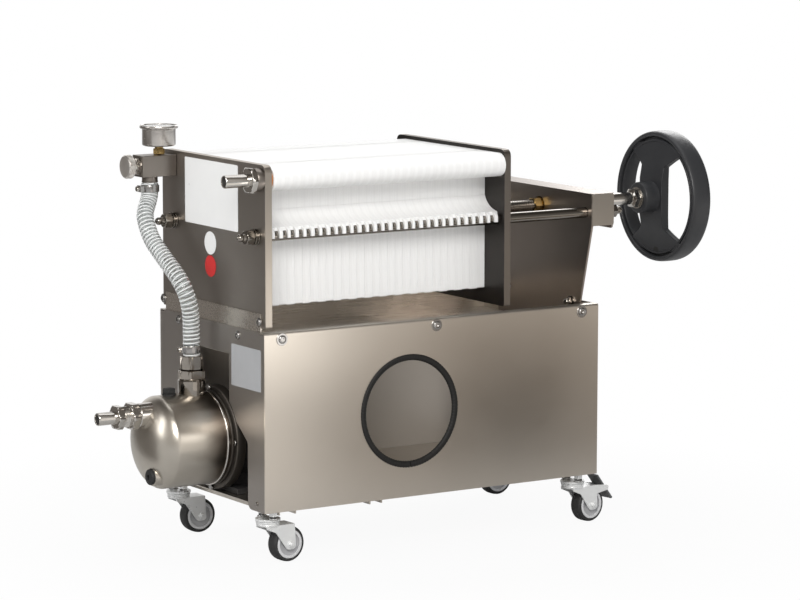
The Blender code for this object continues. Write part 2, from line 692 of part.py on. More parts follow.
# Brass nut of the spindle, clamped through the shoulder's panel
NUT_BORE = SPINDLE_RADIUS + RUN_GAP
NUT_SEAT = SHOULDER_X - SEAT_GAP
NUT_RING = SHOULDER_X + SHOULDER_SHEET + SEAT_GAP
piece("spindle_nut", turned([
    (NUT_SEAT - NUT_HEX_LENGTH, NUT_BORE),
    (NUT_SEAT - NUT_HEX_LENGTH, NUT_HEX_RADIUS, 6),
    (NUT_SEAT, NUT_HEX_RADIUS, 6),
    (NUT_SEAT, NUT_NECK_RADIUS),
    (NUT_RING, NUT_NECK_RADIUS),
    (NUT_RING, NUT_RING_RADIUS),
    (NUT_RING + NUT_RING_LENGTH, NUT_RING_RADIUS),
    (NUT_RING + NUT_RING_LENGTH, NUT_BORE),
], "X", (PACK_Y, ROD_Z), through=True), BRASS, machine)


# Filter plates

def plate_outline():
    """Outline of a filter plate: body, port ears at the top and hooks over the guide rods."""
    half = []
    for step in range(5):
        angle = pi / 2 + pi * step / 4
        half.append((-PORT_HALF_SPACING + PORT_BOSS_RADIUS * cos(angle),
                     PORT_Z + PORT_BOSS_RADIUS * sin(angle)))
    notch = ROD_RADIUS + SEAT_GAP
    half += [
        (-PLATE_HALF_WIDTH, PORT_Z - PORT_BOSS_RADIUS),
        (-PLATE_HALF_WIDTH, HOOK_TOP),
        (-HOOK_TIP, HOOK_TIP_TOP),
        (-HOOK_TIP, HOOK_BOTTOM),
        (-ROD_HALF_SPACING - notch, HOOK_BOTTOM),
        (-ROD_HALF_SPACING - notch, ROD_Z + notch),
        (-ROD_HALF_SPACING + notch, ROD_Z + notch),
        (-ROD_HALF_SPACING + notch, HOOK_BOTTOM),
        (-PLATE_HALF_WIDTH, HOOK_BOTTOM),
        (-PLATE_HALF_WIDTH, PLATE_BOTTOM + PLATE_CORNER),
        (-PLATE_HALF_WIDTH + PLATE_CORNER, PLATE_BOTTOM),
    ]
    other = [(-a, b) for a, b in reversed(half)]
    return [(PACK_Y + a, b) for a, b in half + other]


def plate_block(name, start, pitch, count):
    """A block of plates pressed together."""
    return piece(name, prism(plate_outline(), "X", start, start + count * pitch - SEAT_GAP),
                 WHITE, machine)


PLATE_PITCH = (PACK_END - PACK_START) / PLATE_COUNT
for block in range(PLATE_COUNT // PLATES_PER_BLOCK):
    plate_block(f"filter_plates_{block + 1}",
                PACK_START + block * PLATES_PER_BLOCK * PLATE_PITCH, PLATE_PITCH, PLATES_PER_BLOCK)

# Gaskets between the head plate and the first filter plate
GASKET_START = HEAD_X + PLATE_THICKNESS + SEAT_GAP
GASKET_END = PACK_START - SEAT_GAP
for gasket_name, gasket_y in (("port_gasket_front", PORT_FRONT_Y), ("port_gasket_rear", PORT_REAR_Y)):
    piece(gasket_name, turned([(GASKET_START, GASKET_RADIUS), (GASKET_END, GASKET_RADIUS)],
                              "X", (gasket_y, PORT_Z)), AMBER, machine)


# Press plate, thrust cup, spindle and handwheel

press_slide = empty("press_slide", (0, 0, 0), machine)
press_plate = pressure_plate("press_plate", PRESS_WIDTH, PRESS_BOTTOM, PRESS_TOP, 0,
                             press_slide, PRESS_X, DARK_BRUSHED)
CUP_START = PRESS_X + PLATE_THICKNESS + SEAT_GAP
CUP_END = CUP_START + CUP_LENGTH
CUP_BORE = SPINDLE_RADIUS + RUN_GAP
piece("thrust_cup", turned([
    (CUP_START, CUP_RADIUS),
    (CUP_END, CUP_RADIUS),
    (CUP_END, CUP_BORE),
    (CUP_START + CUP_BASE, CUP_BORE),
], "X", (PACK_Y, ROD_Z)), BRIGHT, press_slide)

spindle_axis = empty("spindle_axis", (0, PACK_Y, ROD_Z), press_slide)
SPINDLE_TIP = CUP_START + CUP_BASE + SEAT_GAP
HUB_START = LOCK_NUT_X + LOCK_NUT_LENGTH + SEAT_GAP
piece("spindle", turned([
    (SPINDLE_TIP, SPINDLE_RADIUS),
    (SLEEVE_START, SPINDLE_RADIUS),
    (SLEEVE_START, SLEEVE_RADIUS),
    (LOCK_NUT_X, SLEEVE_RADIUS),
    (LOCK_NUT_X, LOCK_NUT_RADIUS, 6),
    (LOCK_NUT_X + LOCK_NUT_LENGTH, LOCK_NUT_RADIUS, 6),
    (LOCK_NUT_X + LOCK_NUT_LENGTH, SPINDLE_RADIUS),
    (WHEEL_REACH - SEAT_GAP, SPINDLE_RADIUS),
]), BRIGHT, spindle_axis)

# The rim is turned from a rounded section, and a dished web runs across the hub
RIM_MEAN = WHEEL_RADIUS - RIM_RADIAL / 2
rim_sections = []
for step in range(RIM_POINTS):
    angle = 2 * pi * step / RIM_POINTS
    flat = abs(cos(angle)) ** RIM_SQUARENESS_SHARE * (1 if cos(angle) >= 0 else -1)
    high = abs(sin(angle)) ** RIM_SQUARENESS_SHARE * (1 if sin(angle) >= 0 else -1)
    rim_sections.append((WHEEL_X + RIM_AXIAL / 2 * flat, RIM_MEAN + RIM_RADIAL / 2 * high))
handwheel = piece("handwheel", turned(rim_sections, segments=FINE_SEGMENTS, through=True),
                  BLACK, spindle_axis)


def web():
    """The web as a loft of rectangles from the rim's top to its bottom."""
    bm = bmesh.new()
    upper = [(height, *rest) for height, *rest in reversed(WEB_STATIONS)]
    lower = [(-height, *rest) for height, *rest in WEB_STATIONS]
    loops = []
    for height, half, front, back in upper + lower:
        corners = ((front, -half), (front, half), (back, half), (back, -half))
        loops.append([bm.verts.new((WHEEL_X + a, b, height)) for a, b in corners])
    bm.faces.new(loops[0])
    bm.faces.new(loops[-1])
    for first, second in zip(loops, loops[1:]):
        for i in range(4):
            j = (i + 1) % 4
            bm.faces.new((first[i], first[j], second[j], second[i]))
    return bm


shaped(handwheel, "web", web(), "UNION")
shaped(handwheel, "hub", turned([(HUB_START, HUB_RADIUS), (WHEEL_REACH, HUB_RADIUS)]), "UNION")
shaped(handwheel, "hub_bore", turned([
    (HUB_START - OVERRUN, SPINDLE_RADIUS + SEAT_GAP),
    (WHEEL_REACH + OVERRUN, SPINDLE_RADIUS + SEAT_GAP),
]))
shaped(handwheel, "crank_hole", turned([
    (WHEEL_X - RIM_AXIAL, CRANK_HOLE_RADIUS),
    (WHEEL_X + RIM_AXIAL, CRANK_HOLE_RADIUS),
], "X", (0, -CRANK_HOLE_OFFSET)))


# Pump

def can_sections():
    """The dished front, the straight wall and the weld bead of the pump's can."""
    sections = list(CAN_FACE)
    sections += [
        (WELD_START, CAN_RADIUS),
        (WELD_START + SHEET, WELD_RADIUS),
        (WELD_END - SHEET, WELD_RADIUS),
        (WELD_END, CAN_RADIUS),
        (CAN_END, CAN_RADIUS),
    ]
    return sections


pump_body = piece("pump_body", turned(can_sections(), "X", (0, PUMP_Z), FINE_SEGMENTS),
                  BRIGHT, machine, sharp=50)
shaped(pump_body, "discharge_boss", turned(
    [(PUMP_Z, DISCHARGE_RADIUS), (DISCHARGE_TOP, DISCHARGE_RADIUS)],
    "Z", (DISCHARGE_X, 0)), "UNION")
shaped(pump_body, "suction_boss", turned(
    [(SUCTION_BOSS_X, SUCTION_BOSS_RADIUS), (CAN_SHOULDER, SUCTION_BOSS_RADIUS)],
    "X", (0, SUCTION_Z)), "UNION")

shaped(pump_body, "drain_boss", turned(
    [(DRAIN_BOSS_X, DRAIN_BOSS_RADIUS), (CAN_SHOULDER, DRAIN_BOSS_RADIUS)],
    "X", (DRAIN_Y, PUMP_Z - DRAIN_DROP)), "UNION")

# Cast lantern between can and motor, with its foot on the floor pan
LANTERN_START = CAN_END + SEAT_GAP
pump_lantern = piece("pump_lantern", turned([
    (LANTERN_START, LANTERN_RADIUS),
    (LANTERN_FLANGE, LANTERN_RADIUS),
    (LANTERN_FLANGE + SHEET, LANTERN_NECK_RADIUS),
    (LANTERN_END, LANTERN_NECK_RADIUS),
], "X", (0, PUMP_Z), FINE_SEGMENTS), CAST, machine)
FOOT_BASE = PAN_TOP + SEAT_GAP
shaped(pump_lantern, "lantern_foot", box(
    (LANTERN_FLANGE, -LANTERN_FOOT_HALF_WIDTH, FOOT_BASE),
    (LANTERN_END, LANTERN_FOOT_HALF_WIDTH, FOOT_BASE + LANTERN_FOOT_THICKNESS)), "UNION")
shaped(pump_lantern, "lantern_web", box(
    (LANTERN_FLANGE, -LANTERN_FOOT_HALF_WIDTH / 2, FOOT_BASE),
    (LANTERN_END, LANTERN_FOOT_HALF_WIDTH / 2, PUMP_Z)), "UNION")


def motor_loop(bm, along, depth):
    """A loop with the motor's cooling fins, or plain where depth is zero."""
    loop = []
    for i in range(MOTOR_FINS * 4):
        angle = 2 * pi * i / (MOTOR_FINS * 4)
        reach = MOTOR_RADIUS - (depth if i % 4 in (2, 3) else 0)
        loop.append(bm.verts.new((along, reach * cos(angle), PUMP_Z + reach * sin(angle))))
    return loop


MOTOR_START = LANTERN_END + SEAT_GAP
MOTOR_END = MOTOR_START + MOTOR_LENGTH
COVER_START = MOTOR_END - MOTOR_COVER_LENGTH
bm = bmesh.new()
loops = [motor_loop(bm, MOTOR_START, MOTOR_FIN_DEPTH), motor_loop(bm, COVER_START, MOTOR_FIN_DEPTH),
         motor_loop(bm, COVER_START + SHEET, 0), motor_loop(bm, MOTOR_END, 0)]
bm.faces.new(loops[0])
bm.faces.new(loops[-1])
for first, second in zip(loops, loops[1:]):
    for i in range(len(first)):
        j = (i + 1) % len(first)
        bm.faces.new((first[i], first[j], second[j], second[i]))
pump_motor = piece("pump_motor", bm, CAST, machine)
MOTOR_MIDDLE = (MOTOR_START + COVER_START) / 2
shaped(pump_motor, "terminal_box", box(
    (MOTOR_MIDDLE - TERMINAL_BOX_SIZE[0] / 2, -TERMINAL_BOX_SIZE[1] / 2, PUMP_Z),
    (MOTOR_MIDDLE + TERMINAL_BOX_SIZE[0] / 2, TERMINAL_BOX_SIZE[1] / 2,
     PUMP_Z + MOTOR_RADIUS + TERMINAL_BOX_SIZE[2])), "UNION")

PLUG_SEAT = PUMP_Z + CAN_RADIUS + SEAT_GAP
piece("priming_plug", turned([
    (PLUG_SEAT, PLUG_RADIUS * PLUG_COLLAR_SHARE),
    (PLUG_SEAT + PLUG_LENGTH * PLUG_COLLAR_HEIGHT_SHARE, PLUG_RADIUS * PLUG_COLLAR_SHARE),
    (PLUG_SEAT + PLUG_LENGTH * PLUG_COLLAR_HEIGHT_SHARE, PLUG_RADIUS, 6),
    (PLUG_SEAT + PLUG_LENGTH, PLUG_RADIUS, 6),
], "Z", (PRIMING_X, 0)), BLACK, machine)
DRAIN_SEAT = DRAIN_BOSS_X - SEAT_GAP
piece("drain_plug", turned([
    (DRAIN_SEAT - DRAIN_LENGTH, DRAIN_RADIUS * DRAIN_FACE_SHARE),
    (DRAIN_SEAT - DRAIN_LENGTH * DRAIN_STRAIGHT_SHARE, DRAIN_RADIUS),
    (DRAIN_SEAT, DRAIN_RADIUS),
], "X", (DRAIN_Y, PUMP_Z - DRAIN_DROP)), BLACK, machine)

# Suction union with its hose tail
HEX_END = SUCTION_SEAT - UNION_HEX_LENGTH
BODY_END = HEX_END - UNION_BODY_LENGTH
TAIL_START = BODY_END - UNION_NUT_LENGTH
piece("suction_union", turned([
    (SUCTION_SEAT, UNION_HEX_RADIUS, 6),
    (HEX_END, UNION_HEX_RADIUS, 6),
    (HEX_END, UNION_BODY_RADIUS),
    (BODY_END, UNION_BODY_RADIUS),
    (BODY_END, UNION_NUT_RADIUS, 6),
    (TAIL_START, UNION_NUT_RADIUS, 6),
] + tube_end(TAIL_START, SUCTION_REACH, TAIL_RADIUS, TAIL_BORE), "X", (0, SUCTION_Z)),
    BRIGHT, machine)

# Outlet union on the head plate
FLANGE_END = HEAD_FACE - OUTLET_FLANGE_LENGTH
OUTLET_NUT_END = FLANGE_END - OUTLET_NUT_LENGTH
piece("outlet_union", turned([
    (HEAD_FACE, OUTLET_FLANGE_RADIUS),
    (FLANGE_END, OUTLET_FLANGE_RADIUS),
    (FLANGE_END, OUTLET_NUT_RADIUS, 6),
    (OUTLET_NUT_END, OUTLET_NUT_RADIUS, 6),
] + tube_end(OUTLET_NUT_END, OUTLET_NUT_END - OUTLET_TAIL_LENGTH, TAIL_RADIUS, TAIL_BORE),
    "X", (PORT_FRONT_Y, PORT_Z)), BRIGHT, machine)

# Discharge union on top of the pump
UNION_START = DISCHARGE_TOP + SEAT_GAP
piece("discharge_union", turned([
    (UNION_START, DISCHARGE_HEX_RADIUS, 6),
    (UNION_START + DISCHARGE_HEX_LENGTH, DISCHARGE_HEX_RADIUS, 6),
], "Z", (DISCHARGE_X, 0)), BRIGHT, machine)


# Valve block, its knob and the gauge

valve_block = piece("valve_block", box(
    (BLOCK_END, PORT_REAR_Y - BLOCK_SIDE / 2, PORT_Z - BLOCK_SIDE / 2),
    (HEAD_FACE, PORT_REAR_Y + BLOCK_SIDE / 2, PORT_Z + BLOCK_SIDE / 2)), DARK_BRUSHED, machine)
shaped(valve_block, "branch", turned(
    [(BRANCH_END, BRANCH_RADIUS), (PORT_Z, BRANCH_RADIUS)], "Z", (BRANCH_X, PORT_REAR_Y)), "UNION")
GLAND_END = BLOCK_END - GLAND_LENGTH
shaped(valve_block, "gland", turned(
    [(GLAND_END, GLAND_RADIUS), (BLOCK_END + OVERRUN, GLAND_RADIUS)],
    "X", (PORT_REAR_Y, PORT_Z)), "UNION")
shaped(valve_block, "stem_bore", turned(
    [(GLAND_END - OVERRUN, KNOB_STEM_RADIUS + RUN_GAP),
     (GLAND_END + KNOB_STEM_LENGTH + SEAT_GAP, KNOB_STEM_RADIUS + RUN_GAP)],
    "X", (PORT_REAR_Y, PORT_Z)))

valve_axis = empty("valve_axis", (0, PORT_REAR_Y, PORT_Z), machine)
KNOB_START = GLAND_END - SEAT_GAP
piece("valve_knob", turned([
    (KNOB_START + KNOB_STEM_LENGTH, KNOB_STEM_RADIUS),
    (KNOB_START, KNOB_STEM_RADIUS),
    (KNOB_START, KNOB_RADIUS),
    (KNOB_START - KNOB_LENGTH, KNOB_RADIUS),
]), BRIGHT, valve_axis)

STEM_START = BLOCK_TOP + SEAT_GAP
STEM_END = STEM_START + STEM_HEX_LENGTH + STEM_NECK_LENGTH
piece("gauge_stem", turned([
    (STEM_START, STEM_RADIUS, 6),
    (STEM_START + STEM_HEX_LENGTH, STEM_RADIUS, 6),
    (STEM_START + STEM_HEX_LENGTH, STEM_NECK_RADIUS),
    (STEM_END, STEM_NECK_RADIUS),
], "Z", (GAUGE_X, PORT_REAR_Y)), BRASS, machine)
GAUGE_START = STEM_END + SEAT_GAP
BEZEL_START = GAUGE_START + GAUGE_BODY_LENGTH
GAUGE_TOP = BEZEL_START + BEZEL_LENGTH
piece("pressure_gauge", turned([
    (GAUGE_START, GAUGE_RADIUS),
    (BEZEL_START, GAUGE_RADIUS),
    (BEZEL_START, BEZEL_RADIUS),
    (GAUGE_TOP, BEZEL_RADIUS),
    (GAUGE_TOP, BEZEL_RADIUS - BEZEL_LIP),
    (GAUGE_TOP - GLASS_DEPTH, BEZEL_RADIUS - BEZEL_LIP),
], "Z", (GAUGE_X, PORT_REAR_Y), FINE_SEGMENTS), BRIGHT, machine)


# Hose from the pump to the valve block, and its two clamps

HOSE_ROUTE = [
    (BRANCH_X, PORT_REAR_Y, HOSE_TOP),
    (BRANCH_X, PORT_REAR_Y, HOSE_TOP - 0.6 * CLAMP_LENGTH),
    (BRANCH_X, PORT_REAR_Y, HOSE_TOP - 1.3 * CLAMP_LENGTH),
    (-0.0335, 0.1055, 0.4490),
    (-0.0430, 0.0955, 0.4385),
    (-0.0490, 0.0845, 0.4270),
    (-0.0500, 0.0665, 0.4050),
    (-0.0475, 0.0455, 0.3877),
    (-0.0445, 0.0250, 0.3722),
    (-0.0420, 0.0084, 0.3585),
    (-0.0385, -0.0010, 0.3440),
    (-0.0340, -0.0040, 0.3265),
    (-0.0305, -0.0018, 0.3080),
    (DISCHARGE_X, 0, 0.2900),
    (DISCHARGE_X, 0, HOSE_BOTTOM + 1.4 * CLAMP_LENGTH),
    (DISCHARGE_X, 0, HOSE_BOTTOM + 0.7 * CLAMP_LENGTH),
    (DISCHARGE_X, 0, HOSE_BOTTOM),
]


def smooth_route(points, steps):
    """Points along a smooth curve through the route's own points."""
    path = [Vector(p) for p in points]
    ends = [path[0] * 2 - path[1]] + path + [path[-1] * 2 - path[-2]]
    made = []
    for i in range(1, len(ends) - 2):
        p0, p1, p2, p3 = ends[i - 1:i + 3]
        for step in range(steps):
            t = step / steps
            made.append(0.5 * (2 * p1 + (p2 - p0) * t + (2 * p0 - 5 * p1 + 4 * p2 - p3) * t ** 2
                               + (3 * p1 - p0 - 3 * p2 + p3) * t ** 3))
    return made + [path[-1]]


line = bpy.data.curves.new("hose", "CURVE")
line.dimensions = "3D"
line.bevel_depth = HOSE_RADIUS
line.bevel_resolution = 2
line.use_fill_caps = True
spline = line.splines.new("POLY")
route = smooth_route(HOSE_ROUTE, 1)
spline.points.add(len(route) - 1)
for point, place in zip(spline.points, route):
    point.co = (*place, 1)
line.materials.append(CLEAR)
hose = bpy.data.objects.new("hose", line)
bpy.context.scene.collection.objects.link(hose)
hose.parent = machine


def hose_clamp(name, x, y, middle):
    """A band round the hose, with its worm screw housing on the left."""
    low, high = middle - CLAMP_LENGTH / 2, middle + CLAMP_LENGTH / 2
    inside = HOSE_RADIUS + RUN_GAP
    clamp = piece(name, turned([
        (low, inside), (low, CLAMP_RADIUS), (high, CLAMP_RADIUS), (high, inside),
    ], "Z", (x, y), through=True), ZINC, machine)
    shaped(clamp, f"{name}_screw", turned([
        (y - CLAMP_SCREW_LENGTH / 2, CLAMP_SCREW_RADIUS),
        (y + CLAMP_SCREW_LENGTH / 2, CLAMP_SCREW_RADIUS),
    ], "Y", (x - CLAMP_RADIUS - CLAMP_SCREW_RADIUS * CLAMP_SCREW_OUTSET_SHARE, middle), 12), "UNION")
    return clamp


hose_clamp("hose_clamp_lower", DISCHARGE_X, 0, HOSE_BOTTOM + CLAMP_LENGTH * LOWER_CLAMP_SHARE)
hose_clamp("hose_clamp_upper", BRANCH_X, PORT_REAR_Y, HOSE_TOP - CLAMP_LENGTH * UPPER_CLAMP_SHARE)


# Castors

def castor_mount(name, x, y):
    """Fixed race of a castor with the two nuts that space it off the floor pan."""
    mount = piece(name, turned([
        (MOUNT_BOTTOM, MOUNT_RADIUS), (MOUNT_BOTTOM + MOUNT_THICKNESS, MOUNT_RADIUS),
    ], "Z", (x, y)), ZINC, machine)
    for side in (-1, 1):
        shaped(mount, f"{name}_stud", turned([
            (MOUNT_BOTTOM + MOUNT_THICKNESS / 2, STUD_RADIUS, 6),
            (RAIL_TOP, STUD_RADIUS, 6),
        ], "Z", (x, y + side * STUD_OFFSET), 12), "UNION")
    return mount


def castor_fork(name, parent, braked):
    """A folded fork with its lower race and axle; a braked one has lugs for the pedal."""
    outside = FORK_HALF_INSIDE + FORK_SHEET
    low = CASTOR_WHEEL_RADIUS - FORK_END_RADIUS
    profile = [
        (-FORK_FRONT, FORK_TOP, 0),
        (FORK_REAR, FORK_TOP, 0),
    ]
    if braked:
        profile += [
            (LUG_REACH, PEDAL_PIVOT[1] + PEDAL_BARREL_RADIUS, PEDAL_BARREL_RADIUS),
            (LUG_REACH, PEDAL_PIVOT[1] - PEDAL_BARREL_RADIUS, PEDAL_BARREL_RADIUS),
            (FORK_REAR + FORK_SHEET, PEDAL_PIVOT[1] - 2 * PEDAL_BARREL_RADIUS, 0),
        ]
    profile += [
        (WHEEL_TRAIL + FORK_END_RADIUS * FORK_HEEL_SHARE, low, FORK_END_RADIUS * FORK_FOOT_SHARE),
        (WHEEL_TRAIL - FORK_END_RADIUS * FORK_TOE_SHARE, low, FORK_END_RADIUS * FORK_FOOT_SHARE),
        (FORK_FRONT / 2, FORK_TOP - FORK_FRONT, 0),
        (-FORK_FRONT, FORK_TOP - 2 * FORK_SHEET, 0),
    ]
    fork = piece(name, prism(filleted(profile), "Y", -outside, outside), ZINC, parent)
    shaped(fork, f"{name}_inside", box(
        (-FORK_FRONT - OVERRUN, -FORK_HALF_INSIDE, 0),
        (LUG_REACH + OVERRUN, FORK_HALF_INSIDE, FORK_TOP - FORK_SHEET)))
    if braked:
        shaped(fork, f"{name}_pedal_space", box(
            (FORK_REAR, -FORK_HALF_INSIDE, 0),
            (LUG_REACH + OVERRUN, FORK_HALF_INSIDE, FORK_TOP + OVERRUN)))
    shaped(fork, f"{name}_race", turned([
        (FORK_TOP - FORK_SHEET, RACE_RADIUS * RACE_NECK_SHARE), (FORK_TOP, RACE_RADIUS),
        (RACE_TOP, RACE_RADIUS),
    ], "Z"), "UNION")
    shaped(fork, f"{name}_axle", turned([
        (-outside - FORK_SHEET, AXLE_RADIUS), (outside + FORK_SHEET, AXLE_RADIUS),
    ], "Y", (WHEEL_TRAIL, CASTOR_WHEEL_RADIUS), 12), "UNION")
    return fork


def castor_wheel(name, parent):
    """Tyre and hub about the axle, in the axle's own frame."""
    half = TYRE_WIDTH / 2
    inside = CASTOR_WHEEL_RADIUS - TYRE_WALL
    piece(f"castor_tyre_{name}", turned([
        (-half, inside + SEAT_GAP),
        (-half, CASTOR_WHEEL_RADIUS - TYRE_ROUNDING),
        (-half + TYRE_ROUNDING, CASTOR_WHEEL_RADIUS),
        (half - TYRE_ROUNDING, CASTOR_WHEEL_RADIUS),
        (half, CASTOR_WHEEL_RADIUS - TYRE_ROUNDING),
        (half, inside + SEAT_GAP),
    ], "Y", segments=WHEEL_SEGMENTS, through=True), RUBBER, parent)
    bore = AXLE_RADIUS + RUN_GAP
    face = half - SEAT_GAP
    piece(f"castor_hub_{name}", turned([
        (-face, bore),
        (-face + HUB_RECESS, inside - 2 * HUB_RECESS),
        (-face, inside - HUB_RECESS),
        (-face, inside),
        (face, inside),
        (face, inside - HUB_RECESS),
        (face - HUB_RECESS, inside - 2 * HUB_RECESS),
        (face, bore),
    ], "Y", segments=WHEEL_SEGMENTS, through=True), GREY, parent)


def brake_pedal(name, parent):
    """A slanting foot plate on a barrel between the fork's lugs, in the pivot's own frame."""
    upper, lower = Vector(PEDAL_UPPER), Vector(PEDAL_LOWER)
    across = Vector((upper.y - lower.y, lower.x - upper.x)).normalized() * PEDAL_THICKNESS / 2
    outline = [tuple(upper + across), tuple(lower + across), tuple(lower - across),
               tuple(upper - across)]
    pedal = piece(name, prism(outline, "Y", -PEDAL_HALF_WIDTH, PEDAL_HALF_WIDTH), BLACK, parent)
    shaped(pedal, f"{name}_barrel", turned([
        (-PEDAL_HALF_WIDTH, PEDAL_BARREL_RADIUS), (PEDAL_HALF_WIDTH, PEDAL_BARREL_RADIUS),
    ], "Y", (0, 0), 12), "UNION")
    return pedal


for place_name, (castor_x, castor_y, turn, braked) in CASTORS.items():
    castor_mount(f"castor_mount_{place_name}", castor_x, castor_y)
    swivel = empty(f"swivel_{place_name}", (castor_x, castor_y, 0), machine, turn)
    castor_fork(f"castor_fork_{place_name}", swivel, braked)
    axle = empty(f"axle_{place_name}", (WHEEL_TRAIL, 0, CASTOR_WHEEL_RADIUS), swivel)
    castor_wheel(place_name, axle)
    if braked:
        pivot = empty(f"pivot_{place_name}", (PEDAL_PIVOT[0], 0, PEDAL_PIVOT[1]), swivel)
        brake_pedal(f"brake_pedal_{place_name}", pivot)
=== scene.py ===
# %% [markdown]
# # A plate filter press, dressed over its measured solids
#
# The machine pushes wine or oil through thirty white plates that a handwheel squeezes together.
# Its solids come from a CAD pack and stay where they are. This lesson gives each visible piece its
# finish, and builds finer pieces where the solids are only a plain form: turned fittings, plates,
# castors, the hose and the wheel. Everything is in metres, in the frame of the pack.

# %% Load the fixed frame
from math import cos, pi, radians, sin

import bmesh
import bpy
from mathutils import Matrix, Vector


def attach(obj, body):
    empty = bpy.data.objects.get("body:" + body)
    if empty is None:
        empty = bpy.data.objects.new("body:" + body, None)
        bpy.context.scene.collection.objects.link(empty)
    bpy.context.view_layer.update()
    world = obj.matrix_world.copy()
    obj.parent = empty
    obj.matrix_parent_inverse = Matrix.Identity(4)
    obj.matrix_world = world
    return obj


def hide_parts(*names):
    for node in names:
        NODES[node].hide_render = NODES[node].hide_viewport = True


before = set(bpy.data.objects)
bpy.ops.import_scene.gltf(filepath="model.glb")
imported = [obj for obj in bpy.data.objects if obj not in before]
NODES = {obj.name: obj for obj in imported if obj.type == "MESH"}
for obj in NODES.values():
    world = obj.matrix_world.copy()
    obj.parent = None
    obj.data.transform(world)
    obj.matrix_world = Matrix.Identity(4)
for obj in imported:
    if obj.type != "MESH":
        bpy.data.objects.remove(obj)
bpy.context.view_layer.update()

# %% [markdown]
# ## Camera
#
# A camera can be placed by eye, or solved from edges whose real lengths are known. The second way
# was used here: the cabinet's edges fixed the place, the turn and the focal length. A long lens
# from far away gives the nearly parallel lines of a catalogue picture.

# %% Camera at the solved place
CAMERA_PLACE = Vector((-2.49587, -3.91885, 0.96385))
CAMERA_YAW = radians(32.54493)
CAMERA_PITCH = radians(8.03855)
CAMERA_ROLL = radians(0.07869)
PICTURE_WIDTH = 800
FOCAL_PIXELS = 3505.448
SENSOR_WIDTH = 36.0

camera_data = bpy.data.cameras.new("camera")
camera_data.sensor_width = SENSOR_WIDTH
camera_data.lens = FOCAL_PIXELS * SENSOR_WIDTH / PICTURE_WIDTH
camera_data.clip_start = 0.1
camera_data.clip_end = 60
camera = bpy.data.objects.new("camera", camera_data)
bpy.context.scene.collection.objects.link(camera)
backward = Vector((-sin(CAMERA_YAW) * cos(CAMERA_PITCH), -cos(CAMERA_YAW) * cos(CAMERA_PITCH),
                   sin(CAMERA_PITCH)))
level = Vector((cos(CAMERA_YAW), -sin(CAMERA_YAW), 0))
upward = backward.cross(level)
right_axis = level * cos(CAMERA_ROLL) + upward * sin(CAMERA_ROLL)
up_axis = upward * cos(CAMERA_ROLL) - level * sin(CAMERA_ROLL)
turn = Matrix((right_axis, up_axis, backward)).transposed().to_4x4()
camera.matrix_world = Matrix.Translation(CAMERA_PLACE) @ turn
bpy.context.scene.camera = camera
bpy.context.scene.view_settings.view_transform = "Standard"
print("lens in millimetres:", round(camera_data.lens, 2))

# %% [markdown]
# ## A kit for shader nodes
#
# Wiring nodes one by one takes several lines for each, and the wires are easy to lose among them.
# Each function here makes one node, sets or links what it is given, and returns the output socket,
# so a chain of nodes reads like a formula.

# %% Nodes as functions
def feed(tree, value, socket):
    """Sets a socket to a plain value, or links another node's output to it."""
    if isinstance(value, bpy.types.NodeSocket):
        tree.links.new(value, socket)
    else:
        socket.default_value = value


def math_node(tree, operation, first, second=None, clamp=False):
    """A Math node fed from sockets or numbers."""
    node = tree.nodes.new("ShaderNodeMath")
    node.operation = operation
    node.use_clamp = clamp
    for socket, value in zip(node.inputs, (first, second)):
        if value is not None:
            feed(tree, value, socket)
    return node.outputs[0]


def vector_node(tree, operation, first, second=None):
    """A Vector Math node. Lengths and products give one number, the others give a vector."""
    node = tree.nodes.new("ShaderNodeVectorMath")
    node.operation = operation
    for socket, value in zip(node.inputs, (first, second)):
        if value is not None:
            feed(tree, value, socket)
    gives_number = operation in ("LENGTH", "DISTANCE", "DOT_PRODUCT")
    return node.outputs["Value" if gives_number else "Vector"]


def range_node(tree, value, start, end, low=0.0, high=1.0, smooth=False):
    """A Map Range node: start becomes low, end becomes high."""
    node = tree.nodes.new("ShaderNodeMapRange")
    if smooth:
        node.interpolation_type = "SMOOTHSTEP"
    for name, number in (("From Min", start), ("From Max", end), ("To Min", low), ("To Max", high)):
        node.inputs[name].default_value = number
    tree.links.new(value, node.inputs["Value"])
    return node.outputs["Result"]


# %% Nodes that mix, and noise
def colour_mix(tree, share, first, second):
    """A Mix node for two colours."""
    node = tree.nodes.new("ShaderNodeMix")
    node.data_type = "RGBA"
    for index, value in ((0, share), (6, first), (7, second)):
        feed(tree, value, node.inputs[index])
    return node.outputs[2]


def shader_mix(tree, share, first, second):
    """A Mix Shader node for two shaders."""
    node = tree.nodes.new("ShaderNodeMixShader")
    for socket, value in zip(node.inputs, (share, first, second)):
        tree.links.new(value, socket)
    return node.outputs[0]


def noise_node(tree, vector, scale, detail=4, roughness=0.55):
    """A Noise Texture on a vector, as a plain value."""
    node = tree.nodes.new("ShaderNodeTexNoise")
    node.inputs["Detail"].default_value = detail
    node.inputs["Roughness"].default_value = roughness
    feed(tree, scale, node.inputs["Scale"])
    tree.links.new(vector, node.inputs["Vector"])
    return node.outputs[0]


# %% [markdown]
# ## Floor, world and lamps
#
# Stainless steel has no colour of its own to speak of: it shows the room. A plain white room makes
# flat white steel, so the room here is white behind the machine and dark at its sides, as in a
# studio with black flags. The lamps are large and soft, and the floor stays pale.

# %% The floor, which the camera sees as white and the lamps see as pale grey
def stage_plane(name, corners, look):
    """A flat piece of the studio, which isn't part of the object."""
    mesh = bpy.data.meshes.new(name)
    mesh.from_pydata([tuple(c) for c in corners], [], [(0, 1, 2, 3)])
    mesh.materials.append(look)
    made = bpy.data.objects.new(name, mesh)
    bpy.context.scene.collection.objects.link(made)
    return made


